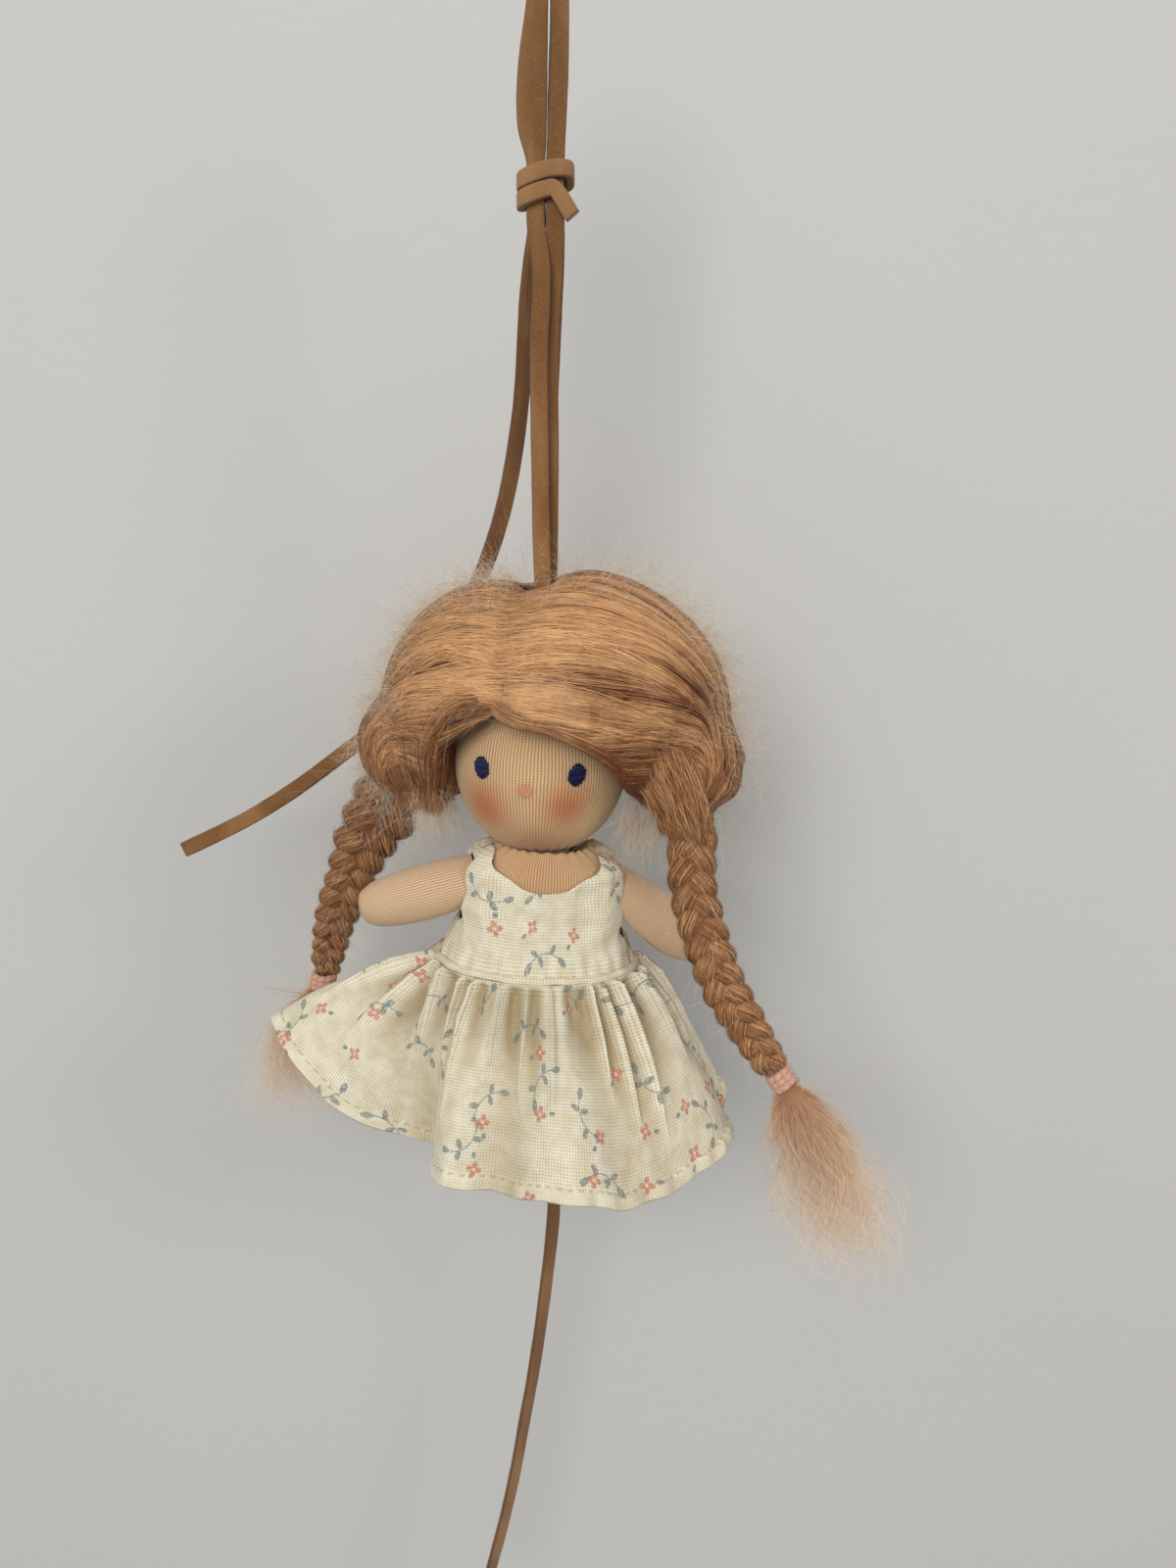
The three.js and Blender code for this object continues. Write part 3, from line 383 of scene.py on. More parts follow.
def suede_material(name="suede", painted_light=0.0):
    """Nubuck in worn patches, darker at its cut edge."""
    n = Nodes(name, (138, 102, 64), 0.95, sheen=0.2)
    worn = n.noise(120, 2, vector=n.vector("MULTIPLY", n.place, (1, 1, 0.35)))
    grain, nap = n.noise(5200, 4, 0.75), n.noise(1500, 3, 0.6)
    tint = n.layers(
        n.mix(n.span(worn, 0.38, 0.64), (114, 76, 42), (142, 102, 62)),
        (n.span(grain, 0.5, 0.72) * 0.6, (178, 138, 92)),
        (n.span(grain, 0.42, 0.28) * 0.55, (78, 48, 24)),
        (n.span(nap, 0.55, 0.72) * 0.3, (92, 60, 34)),
        (n.span(n.attribute("edge"), 0.35, 0.95) * 0.62, (86, 52, 26)),
    )
    # painted light: the binding's copy of the suede is lighter, as the knot's lit faces look
    if painted_light:
        tint = n.mix(painted_light, tint, (182, 142, 98))
    return n.finished(tint, grain * 0.8 + nap, 0.16, 0.8)


def knit_material(name, blush_and_shade_spots=(), colour=(228, 194, 148)):
    """Fine tricot: columns of stitches, each a small V, on a soft ground."""
    n = Nodes(name, colour, 0.9, sheen=0.15, subsurface=0.08)
    wobble = (n.noise(260, 2) - 0.5) * 0.5
    off = n.math("ABSOLUTE", n.math("FRACT", n.attribute("wale") + wobble) - 0.5)
    groove = n.math("POWER", off * 2, 2.2)
    stitch = n.math("SINE", (n.attribute("course") + off) * TURN)
    tint = n.mix(n.noise(60, 2), colour, tuple(int(c * 0.965) for c in colour))
    for place, reach, shade, amount in blush_and_shade_spots:
        apart = n.vector("DISTANCE", n.place, [c * MM for c in place], "Value")
        tint = n.mix(n.span(apart, 0.0, reach * MM, amount, 0.0), tint, shade)
    # painted shade: darker in the grooves between wales and in the low half of each stitch
    tint = n.mix(groove * 0.85, tint, (142, 94, 56))
    tint = n.mix(n.span(stitch, -1.0, 0.0, 0.36, 0.0), tint, (132, 88, 54))
    return n.finished(tint, stitch * 0.25 - groove, 0.10, 0.8)


def hair_material(name="mohair", dark=(104, 50, 14), light=(224, 172, 118)):
    n = Nodes(name, (160, 116, 78), 0.62, sheen=0.08, specular=0.35)
    share = n.attribute("tone") + (n.noise(420, 2) - 0.5) * 0.35
    return n.finished(n.mix(n.span(share, 0.0, 1.0), dark, light))


def hair_ground_material():
    """Hair seen as a mass: fine streaks along the fibres, in darker colours that paint the shade between the
    fibres over it.
    """
    n = Nodes("mohair_mass_shaded", (130, 86, 50), 0.8, sheen=0.05)
    across, along = n.attribute("across"), n.attribute("along")
    fine = n.noise(1.0, 3, 0.6, n.join(across * 160, along * 3))
    broad = n.noise(1.0, 2, 0.5, n.join(across * 26, along * 2))
    tint = n.mix(n.span(broad, 0.3, 0.7), (106, 54, 18), (142, 86, 42))
    tint = n.mix(n.span(fine, 0.35, 0.7) * 0.6, tint, (180, 126, 76))
    return n.finished(tint, fine + broad * 0.8, 0.4, 0.9)


class Motif:
    """Copies of a small drawing, each in its own cell of the flat cloth, turned its own way."""

    def __init__(self, n, u, v, apart, seed, loose=0.62):
        self.n = n
        flat = n.join(u + seed, v + seed * 1.7)
        inputs = {"Vector": flat, "Scale": 1 / apart, "Randomness": loose}
        middle = n.node("TexVoronoi", "Position", inputs, voronoi_dimensions="2D")
        x = n.node("SeparateXYZ", 0, {0: n.vector("SUBTRACT", flat, middle)})
        y = x.also(1)
        self.pick = n.node("SeparateColor", 0, {0: middle.also("Color")})
        turn = self.pick.also(2) * TURN
        c, s = n.math("COSINE", turn), n.math("SINE", turn)
        self.x, self.y = x * c - y * s, x * s + y * c

    def spot(self, cx, cy, long, wide, lean=0.0):
        """1 inside an oval, 0 outside it."""
        c, s = math.cos(math.radians(lean)), math.sin(math.radians(lean))
        dx, dy = self.x - cx, self.y - cy
        p, q = dx * (c / long) + dy * (s / long), dy * (c / wide) - dx * (s / wide)
        return self.n.span(p * p + q * q, 0.75, 1.25, 1.0, 0.0)

    def spots(self, *ovals):
        whole = self.spot(*ovals[0])
        for oval in ovals[1:]:
            whole = self.n.math("MAXIMUM", whole, self.spot(*oval))
        return whole

    def stem(self, low, high, bend, wide):
        """1 on a thin bent line from low to high along x."""
        n, x = self.n, self.x
        off = n.math("ABSOLUTE", self.y - x * x * bend)
        ends = n.span(x, low - 0.1, low + 0.1) * n.span(x, high - 0.1, high + 0.1, 1.0, 0.0)
        return n.span(off, wide * 0.55, wide * 1.3, 1.0, 0.0) * ends


WEAVE_PITCH, DASH_PITCH = 0.56, 1.9
SPRIG_APART, BLOOM_APART, PETAL_OUT = 13.5, 11.0, 0.82
SKIRT_LONG = 36.5
HEM_STITCH_SHARE = 0.935
HEM_STITCH = HEM_STITCH_SHARE * SKIRT_LONG


def print_layers(n, u, v):
    """Printed sprigs and blooms, worn in places, and the dashes of the hem's stitches."""
    worn = n.span(n.noise(1.8, 3, vector=n.join(u, v)), 0.32, 0.58, 0.45, 0.95)
    sprig = Motif(n, u, v, SPRIG_APART, 31.0)
    stem = sprig.stem(-3.6, 3.4, 0.12, 0.17)
    leaf = sprig.spots(
        (3.9, 1.9, 1.15, 0.62, 40), (-4.1, 2.3, 1.05, 0.6, -50), (1.9, -0.5, 1.0, 0.55, -50),
        (-1.2, 1.3, 0.95, 0.52, 65), (-2.7, -0.1, 0.9, 0.5, 30),
    )
    sprigs = n.span(sprig.pick, 0.18, 0.22)
    bloom = Motif(n, u, v, BLOOM_APART, 7.0)
    petal = bloom.spots(*(
        (PETAL_OUT * math.cos(a), PETAL_OUT * math.sin(a), 0.66, 0.5, math.degrees(a))
        for a in (0.2, 1.77, 3.34, 4.91)
    ))
    heart, bud = bloom.spot(0, 0, 0.34, 0.34), bloom.spot(2.3, 1.2, 0.62, 0.42, 30)
    blooms = n.span(bloom.pick, 0.30, 0.34)
    line = n.span(n.math("ABSOLUTE", v - HEM_STITCH), 0.10, 0.26, 1.0, 0.0)
    dash = n.span(n.math("SINE", u * (TURN / DASH_PITCH)), -0.5, 0.1)
    return (
        (stem * sprigs * worn * 0.8, (118, 134, 132)),
        (leaf * sprigs * worn * 0.85, (104, 122, 122)),
        (petal * blooms * worn * 0.9, (192, 116, 100)),
        (heart * blooms * 0.85, (226, 204, 166)),
        (bud * blooms * worn, (120, 136, 134)),
        (line * dash * 0.4, (150, 128, 88)),
    )


def cloth_material(name="gauze", printed=True):
    """Double gauze: an open fine weave that puckers, with a small printed sprig and bloom."""
    n = Nodes(name, (222, 214, 190), 0.96, sheen=0.06, subsurface=0.04)
    u, v = n.attribute("u"), n.attribute("v")
    wobble = n.noise(0.9, 2, vector=n.join(u, v))
    weft = n.math("SINE", v * (TURN / WEAVE_PITCH) + wobble * 3.4)
    warp = n.math("SINE", u * (TURN / WEAVE_PITCH) + wobble * 2.8)
    hole = n.span(weft, -0.9, 0.35, 1.0, 0.0) * n.span(warp, -0.9, 0.35, 1.0, 0.0)
    pucker = n.noise(1.0, 2, vector=n.join(u * 0.30, v * 0.30))
    slub = n.noise(1.0, 2, 0.6, n.join(u * 0.5, v * 6))
    # painted shade: darker in the crinkles' hollows and in the weave's holes, the holes fainter below the hem
    # stitch where the cloth lies double
    tint = n.layers(
        n.mix(n.span(pucker, 0.3, 0.7), (216, 206, 178), (230, 223, 201)),
        (n.span(slub, 0.52, 0.72, 0.0, 0.35), (238, 233, 216)),
        (hole * n.span(v, HEM_STITCH - 0.6, HEM_STITCH, 0.62, 0.2), (146, 122, 80)),
        # painted shade in the valleys of the folds
        (n.attribute("fold_shade") * 0.70, (154, 130, 86)),
        *(print_layers(n, u, v) if printed else ()),
    )
    return n.finished(tint, (weft + warp) * 0.09 + pucker * 1.2, 0.5, 0.7)


def thread_material(name, colour, dark, sheen=0.2, rough=0.6):
    n = Nodes(name, colour, rough, sheen=sheen)
    twist = n.math("SINE", (n.attribute("along") + n.attribute("around")) * TURN)
    # painted shade: darker in the twist's grooves, where its relief is low
    return n.finished(n.mix(n.span(twist, -1, 0.4, 0.6, 0.0), colour, dark), twist, 0.06, 0.7)


def horn_material():
    """The pale horn of the button."""
    n = Nodes("horn_button", (240, 230, 210), 0.35)
    return n.finished(n.mix(n.noise(700), (240, 230, 210), (228, 218, 199)), n.noise(1500), 0.03, 0.5)


make_camera()

# ---------------------------------------------------------------- suede lace
LACE_W, LACE_T, LACE_ROUND = 3.0, 1.5, 0.42
KNOT_Z, KNOT_X = -39.8, 0.5
STRAND_X, STRAND_Y = 1.625, 0.875
TOP_END, LOW_END, RUN = KNOT_Z + 0.15, KNOT_Z - 0.15, 4.6
LEFT_X, RIGHT_X = KNOT_X - STRAND_X, KNOT_X + STRAND_X
SUEDE = suede_material()
# the binding's suede, painted lighter as the knot's lit faces look
SUEDE_PAINTED_LIGHT = suede_material("suede_painted_light", 0.28)


def lace_section():
    """A rounded flat section, with how much each corner belongs to the cut edge."""
    x, y = LACE_W / 2 - LACE_ROUND, LACE_T / 2 - LACE_ROUND
    outline, edge = [], []
    for cx, cy, start in ((x, y, 0), (-x, y, 90), (-x, -y, 180), (x, -y, 270)):
        for k in range(4):
            a = math.radians(start + 30 * k)
            outline.append((cx + LACE_ROUND * math.cos(a), cy + LACE_ROUND * math.sin(a)))
            edge.append(abs(math.cos(a)) ** 2)
    return np.array(outline) * [1.035, 0.985], np.array(edge)


def lace_piece(name, node, body, centre, wide, seed, width=1.0, material=SUEDE):
    """A flat lace along a line, its width and thickness a little uneven."""
    section, edge = lace_section()
    local = np.random.default_rng(seed)
    t = tangents(centre)
    wide = unit(wide - t * np.sum(wide * t, axis=1, keepdims=True))
    thick = np.cross(t, wide)
    run = run_along(centre)[:, None]
    waver = np.zeros((len(centre), 2))
    for k in range(5):
        waver += 0.018 / (1 + k) * np.sin(run * (0.35 + 0.5 * k) + local.uniform(0, 6.28, 2))
    x = section[:, 0] * width * (1 + 0.6 * waver[:, :1])
    y = section[:, 1] * (0.97 + 1.5 * waver[:, 1:])
    rings = centre[:, None] + x[..., None] * wide[:, None] + y[..., None] * thick[:, None]
    marks = {"edge": np.broadcast_to(edge, x.shape)}
    return fitted(mesh_piece(name, rings, tube_faces(*x.shape), material, marks), "suede", body, node)


def routed(name, node, body, route, seed, step=0.6):
    """A lace through route points, each x, y, z and the turn of its width in degrees."""
    _, length = centripetal(route, 2)
    line, _ = centripetal(route, max(40, int(length / step)))
    turn, line = np.radians(line[:, 3]), line[:, :3]
    wide = np.column_stack([np.cos(turn), np.sin(turn), 0 * turn])
    return lace_piece(name, node, body, line, wide, seed), line, length


def half_turn(x, radius, z, way):
    """Route points from the front of a bar to its back, over it (1) or under it (-1)."""
    angles = np.radians([0, 45, 90, 135, 180])
    return [[x, -radius * math.cos(a), z + way * radius * math.sin(a), 0] for a in angles]


def straight(x, y, z, run):
    """The straight end of a strand inside the binding, from its end outwards."""
    return [[x, y, z, 0], [x, y, z + run, 0]]


LOOPS = (
    ("left", LEFT_X, -0.3, [[-0.9, -1.1, -32.5, 0], [-0.5, -1.9, -20, 0], [-0.3, -2.8, -9, 0]],
     [[-1.0, 2.8, -9, 0], [-2.5, 2.5, -19, 10], [-2.7, 1.9, -28, 10], [-1.5, 1.0, -32.8, 0]]),
    ("right", RIGHT_X, 3.05, [[2.3, -1.15, -32.5, 5], [2.95, -1.9, -20, 20], [3.1, -2.7, -9, 10]],
     [[3.0, 2.8, -9, 0], [2.6, 2.2, -20, 0], [2.25, 1.2, -32.5, 0]]),
)
for seed, (word, x, top, front, back) in enumerate(LOOPS, 1):
    route = straight(x, -STRAND_Y, TOP_END, RUN) + front + half_turn(top, 3.15, -2.4, 1)
    route += back + straight(x, STRAND_Y, TOP_END, RUN)[::-1]
    routed(f"suede_hanging_loop_{word}", f"hanging_loop_{word}", "hanger", route, seed)

# The strand under the crown's thread loop turns round it in one bight
LOOP_WIRE, LOOP_HIGH, LOOP_ACROSS = 0.4, 2.8, 3.0
LOOP_MIDDLE = LOOP_HIGH + LOOP_WIRE + 0.3 - HANG
BIGHT = LOOP_MIDDLE + LOOP_HIGH - LOOP_WIRE - 0.6 - LACE_T / 2 + 1.5
carrier_route = straight(LEFT_X, -STRAND_Y, LOW_END, -RUN)
carrier_route += [[-0.7, -1.1, -47.5, 0], [-0.25, -1.4, -52, 0], [-0.4, -1.5, -57, 0]]
carrier_route += [[-0.8, -1.5, -64, 0], [-0.8, -1.5, -82, 0], [-0.6, -1.5, -100, 0]]
carrier_route += half_turn(0, 1.5, BIGHT, -1)
carrier_route += [[0.6, 1.5, -100, 0], [0.9, 1.5, -82, 0], [0.95, 1.5, -64, 0]]
carrier_route += [[1.3, 1.4, -57, 0], [1.7, 0.9, -52, 0], [2.0, -0.2, -47.8, 0]]
carrier_route += straight(RIGHT_X, -STRAND_Y, LOW_END, -RUN)[::-1]
carrier, _, _ = routed("suede_carrier", "lace_carrier", None, carrier_route, 3)
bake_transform(carrier)

# The tails follow their lines in the photograph, and hang behind the doll between them
SHORT_TAIL = [
    [-1.6, 1.3, -47.6, 25], [-2.5, 2.3, -51.5, 55], [-3.1, 3.2, -56, 55], [-4.4, 5.2, -72.8, 45],
    [-7.3, 9.5, -87.9, 30], [-11.0, 14.2, -99, 20], [-15.0, 17.6, -107.4, 10],
    [-21.9, 20.4, -117.4, 5], [-29.3, 21.2, -127.2, 0], [-36.0, 20.2, -135.0, 0],
    [-43.5, 19.0, -140.9, 0], [-52.6, 17.2, -147.4, 0], [-61.1, 16.2, -152.6, 0],
    [-67.4, 15.6, -155.8, 0], [-75.1, 15.0, -159.4, 0],
]
LONG_TAIL = [
    [2.1, 1.9, -47.6, 0], [1.9, 3.8, -52, 0], [0.9, 10, -67, 0], [0, 17.0, -84, 0],
    [-0.4, 25.0, -103, 0], [-0.5, 30.0, -120, 0], [-0.4, 31.3, -140, 0], [-0.2, 31.0, -165, 0],
    [0, 31.0, -190, 10], [0, 31.0, -215, 20], [-0.2, 31.0, -238, 28], [-0.4, 31.0, -252.6, 33],
    [-2.7, 31.5, -275.4, 36], [-5.7, 32.0, -297.7, 38], [-8.1, 32.0, -311.9, 40],
    [-10.5, 32.0, -326.3, 40], [-13.5, 32.0, -341.0, 40], [-17.1, 32.0, -356.1, 40],
    [-19.6, 32.0, -366.0, 40],
]
for word, x, tail, seed in (("short", LEFT_X, SHORT_TAIL, 4), ("long", RIGHT_X, LONG_TAIL, 5)):
    route = straight(x, STRAND_Y, LOW_END, -RUN) + tail
    piece, line, length = routed(f"suede_tail_{word}", f"lace_tail_{word}", None, route, seed)
    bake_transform(piece)
    line[0] * MM
    length * MM
    line * MM

# The binding goes round the four strands less than twice, with a square end in front
BIND_START, BIND_END, BIND_PITCH, BIND_RISE, BIND_HIGH = 100, 648, 3.0, 1.35, 4.1
BIND_OUT = LACE_W / 2 + 0.32 + LACE_T / 2
BIND_X, BIND_Y = STRAND_X + BIND_OUT, STRAND_Y + BIND_OUT - (LACE_W - LACE_T) / 2


def binding():
    """The lace wound round the four strands, with its two ends free."""
    turns = (BIND_END - BIND_START) / 360
    share = np.linspace(0, 1, round(24 * turns) + 1)
    a = np.radians(BIND_START + (BIND_END - BIND_START) * share)
    c, s = np.cos(a), np.sin(a)
    r = (np.abs(c) ** 4 + np.abs(s) ** 4) ** -0.25
    z = BIND_HIGH + KNOT_Z + BIND_RISE * r * c + 0.9 * np.maximum(0, -s) ** 2 - BIND_PITCH * turns * share
    points = np.column_stack([KNOT_X + BIND_X * r * c, BIND_Y * r * s, z])
    first = points[0] + unit(points[0] - points[1]) * 1.4 + [0, 0.42, 0]
    last = points[-1] + unit(points[-1] - points[-2]) * 3.3 + [0, -0.9, -5.0]
    line, _ = centripetal(np.vstack([first, points, last]), 180)
    up = np.broadcast_to([0.0, 0.0, 1.0], line.shape)
    lace_piece("suede_binding", "wrap_knot", "hanger", line, up, 6, 0.86, SUEDE_PAINTED_LIGHT)


binding()


# ---------------------------------------------------------------- knit skin, stuffed
WALE, COURSE = 0.62, 0.5
BLUSH = (190, 102, 60)
# blush on the cheeks, nose and chin, and painted shade: middle, reach, colour and amount of each spot
FACE_BLUSH_AND_SHADE = (
    ((-12.3, -12.2, -144.4), 9.4, BLUSH, 1.0),
    ((4.1, -14.5, -143.2), 7.4, BLUSH, 0.88),
    # painted shadow of the hairline on the left temple
    ((-12.5, -11.0, -128.5), 5.0, (196, 132, 96), 0.30),
    ((-3.3, -15.5, -139.8), 2.3, (196, 118, 88), 0.85),
    # blush on the chin, partly painted shade under the face
    ((-1.5, -11.0, -153.0), 10.5, (178, 112, 74), 0.8),
)
HEAD_KNIT = knit_material("head_knit", FACE_BLUSH_AND_SHADE)
# a pinker tone on the chest, and painted shade under the chin
BODY_KNIT = knit_material("body_knit", (((-1.5, -9.0, -157.5), 12.0, (196, 142, 108), 0.5),))
LIMB_KNIT = knit_material("limb_knit", (((-34.5, -3.0, -160.5), 6.0, (206, 130, 106), 0.7),), (232, 202, 164))


def knit_piece(name, rings, where, material, body, nodes):
    """A closed knit form. Its first and last column lie on each other at the knit's seam."""
    rows, columns = rings.shape[:2]
    girth = np.linalg.norm(np.diff(rings, axis=1), axis=2).sum(axis=1).max()
    wale = np.broadcast_to(np.linspace(0, round(girth / WALE), columns), (rows, columns))
    steps = np.linalg.norm(np.diff(rings, axis=0), axis=2)
    course = np.vstack([np.zeros(columns), np.cumsum(steps, axis=0)]) / COURSE
    faces = grid_faces(rows, columns, closed=False)
    marks = {"wale": wale, "course": course}
    piece = mesh_piece(name, placed(rings, where), faces, material, marks)
    fitted(piece, "skin_knit", body, *nodes)


def ovals(half_x, half_y, z, angle):
    """Rings round the z axis from the back of a form, at the angles given."""
    return np.stack(np.broadcast_arrays(half_x * np.sin(angle), half_y * np.cos(angle), z), -1)


EYES = ((-8.6, 0.7), (8.6, 0.7))
NOSE_Z = -2.3


def head_front(x, z):
    """The y of the face's skin, in the head's frame."""
    share = 1 - (x / HEAD_SIZE[0]) ** 2 - (z / HEAD_SIZE[2]) ** 2
    return -HEAD_SIZE[1] * np.sqrt(np.maximum(share, 0))


def head_piece():
    """The head and its neck, pressed in a little at the eyes and out at the nose."""
    angle = np.linspace(0, 2 * np.pi, 241)
    polar = np.linspace(0.001, math.radians(157), 130)
    neck = [[0.372, -16.9], [0.36, -18.0], [0.36, -20.5], [0.35, -23.4], [0.24, -24.6], [0.01, -24.8]]
    skull = np.column_stack([np.sin(polar) ** 0.97, np.cos(polar) * HEAD_SIZE[2]])
    profile = np.vstack([skull, neck])
    share, z = profile[:, :1], profile[:, 1:]
    rings = ovals(share * HEAD_SIZE[0], share * HEAD_SIZE[1], z, angle)
    fold = smooth(-z, 13.0, 16.6) * np.cos(26 * angle + 0.8 * np.sin(5 * angle))
    rings[..., :2] *= 1 + 0.035 * fold[..., None]
    x, y, z = np.moveaxis(rings, -1, 0)
    face = y < 0
    for ex, ez in EYES:
        y += face * 0.45 * np.exp(-((x - ex) ** 2 + (z - ez) ** 2) / 7.5)
    y -= face * 0.45 * np.exp(-(x**2 + (z - NOSE_Z) ** 2) / 3.5)
    knit_piece("knit_head", rings, HEAD, HEAD_KNIT, "head", ("head_skin", "head_stuffing"))


TORSO_HALF, TORSO_LONG = np.array([18.3, 12.6]), 36.0
# half width and depth below the top, in shares
TORSO_SHARES = np.array([
    [0.0, 0.0], [0.58, 0.008], [0.71, 0.04], [0.77, 0.11], [0.775, 0.22], [0.80, 0.34],
    [0.87, 0.45], [0.965, 0.55], [1.0, 0.63], [0.98, 0.74], [0.88, 0.85], [0.66, 0.94],
    [0.34, 0.988], [0.0, 1.0],
])
# half width, half depth and height of the collar, drawn up close under the chin
COLLAR = (
    (0, 0, -8.6), (6.8, 6.6, -8.6), (7.5, 7.4, -8.2), (7.7, 7.5, -1.0), (8.1, 7.8, 0.9),
    (8.7, 8.2, 1.25), (9.5, 8.5, 0.9), (11.2, 8.8, -0.2),
)


def torso_reach(point, grow=0.0):
    """How far out a point lies, as a share of the torso's form: below 1 is inside."""
    down = -(point[..., 2] - grow) / (TORSO_LONG + 2 * grow)
    share = np.interp(down, TORSO_SHARES[:, 1], TORSO_SHARES[:, 0], left=1e-3, right=1e-3)
    half = (TORSO_HALF + grow) * share[..., None]
    return np.sqrt(np.sum((point[..., :2] / half) ** 2, axis=-1))


def torso_piece():
    """The body, with its collar drawn up close under the chin."""
    angle = np.linspace(0, 2 * np.pi, 181)
    line, _ = centripetal(np.column_stack([TORSO_SHARES[2:], np.zeros(12)]), 90)
    share, down = line[:, :1], line[:, 1:2]
    half_x, half_y = TORSO_HALF - 0.3
    rings = ovals(share * half_x, share * half_y, -down * TORSO_LONG, angle)
    ruffle = 0.16 * np.cos(24 * angle + np.sin(5 * angle))
    top = [ovals(x, y, z + ruffle * (z > -2), angle)[None] for x, y, z in COLLAR]
    rings = np.concatenate([*top, rings])
    knit_piece("knit_body", rings, TORSO, BODY_KNIT, "torso", ("torso_skin", "torso_stuffing"))


ARM_SHARES = [[0.9, 0], [1, 0.3], [0.98, 0.5], [0.9, 0.7], [0.78, 0.86], [0.5, 0.97], [0.02, 1]]
LEG_SHARES = [[0.95, 0], [1, 0.25], [0.88, 0.5], [0.8, 0.72], [0.84, 0.88], [0.55, 0.98], [0.02, 1]]


def pitched(pitch, roll):
    """A turn in degrees: tipped about X, then rolled about Y."""
    p = math.radians(pitch)
    about_x = np.array([[1, 0, 0], [0, math.cos(p), -math.sin(p)], [0, math.sin(p), math.cos(p)]])
    return turned(roll, 0)[0] @ about_x


def limb_piece(name, shares, half, length, pivot, tilt, swings, nodes):
    """A limb whose root is hollowed to clear the body over the joint's whole range."""
    angle = np.linspace(0, 2 * np.pi, 121)
    shares = np.array(shares)
    line, _ = centripetal(np.column_stack([shares, np.zeros(len(shares))]), 80)
    turn = pitched(*tilt)
    reach = np.linspace(0, length * 0.6, 90)

    def clear_from(r):
        """How far along its axis each line of the limb starts to be clear of the body."""
        points = ovals(r, r, -reach[:, None], angle)
        hit = np.zeros(points.shape[:2], bool)
        for swing in swings:
            hit |= torso_reach(points @ (pitched(*swing) @ turn).T + pivot, 0.35) < 1
        last = np.where(hit.any(axis=0), len(reach) - 1 - hit[::-1].argmax(axis=0), 0)
        return reach[last] + 0.05

    rings = [ovals(r, r, -clear_from(r), angle) for r in half * np.linspace(0.04, 0.92, 9)]
    start = clear_from(half)
    for share, along in line[:, :2]:
        down = start + (length - start) * along
        width = half * (share + np.interp(down / length, shares[:, 1], shares[:, 0])) / 2
        rings.append(ovals(width, width, -down, angle))
    rings = np.array(rings) @ turn.T + pivot
    knit_piece(name, rings, TORSO, LIMB_KNIT, nodes[0], nodes)


head_piece()
torso_piece()
for side, word, roll, raises in ((-1, "left", 75, (-18, -9, 0, 8)), (1, "right", -59, (-8, 0, 9, 18))):
    node = f"arm_{word}"
    limb_piece(
        f"knit_{node}", ARM_SHARES, 5.4, 24, np.array([side * 11.5, 0, -6.4]),
        (-6, roll), [(0, degrees) for degrees in raises], (node, f"{node}_stuffing"),
    )
    node = f"leg_{word}"
    limb_piece(
        f"knit_{node}", LEG_SHARES, 5.6, 27, np.array([side * 7.4, 0, -30.0]),
        (-7, -side * 5), [(degrees, 0) for degrees in (-18, -9, 0, 9, 18)], (node, f"{node}_stuffing"),
    )


# ---------------------------------------------------------------- stitched face and threads
def stitches(name, lines, radius, material, slot, node, where):
    """Short stitches of thread side by side, each a tube that dives in at both ends."""
    rings = np.array([tube(np.array(line), radius) for line in lines])
    fitted(tubes_piece(name, placed(rings, where), material, 3), slot, "head", node)


EYE = thread_material("eye_floss", (9, 13, 70), (3, 5, 34), sheen=0.1, rough=0.42)
NOSE = thread_material("nose_floss", (206, 144, 114), (190, 126, 98))
THREAD = thread_material("sewing_thread", (214, 200, 172), (176, 158, 128))
SKIN_THREAD = thread_material("skin_thread", (184, 140, 104), (150, 106, 74))
ELASTIC = thread_material("elastic_band", (206, 162, 140), (172, 122, 98), rough=0.7)


def face_line(start, end, lift):
    """A stitch over the face between two (x, z) spots."""
    t = np.linspace(0, 1, 9)
    x, z = (a + (b - a) * t for a, b in zip(start, end))
    return np.column_stack([x, head_front(x, z) - lift * np.sin(np.pi * t) ** 0.6 + 0.12, z])


EYE_HALF, EYE_STEP, EYE_UNEVEN = 1.95, 0.40, 0.08
for (ex, ez), word, lean in zip(EYES, ("left", "right"), (-0.12, 0.12)):
    lines = []
    for k, share in enumerate((0.50, 0.78, 0.98, 1.0, 0.95, 0.78, 0.50)):
        x = ex + (k - 3) * EYE_STEP
        top = ez + EYE_HALF * share + rng.uniform(-EYE_UNEVEN, EYE_UNEVEN)
        low = ez - EYE_HALF * share + rng.uniform(-EYE_UNEVEN, EYE_UNEVEN)
        lines.append(face_line((x + lean, top), (x - lean, low), 0.12 + 0.28 * share))
    stitches(f"stitched_eye_{word}", lines, 0.235, EYE, "eye_thread", f"eye_{word}", HEAD)
lines = [
    face_line((-1.7 * s, NOSE_Z + d), (1.7 * s, NOSE_Z + d + 0.1), 0.52)
    for d, s in ((-0.8, 0.55), (-0.45, 0.9), (-0.1, 1.0), (0.25, 0.95), (0.6, 0.6))
]
stitches("stitched_nose", lines, 0.19, NOSE, "nose_thread", "nose_stitch", HEAD)

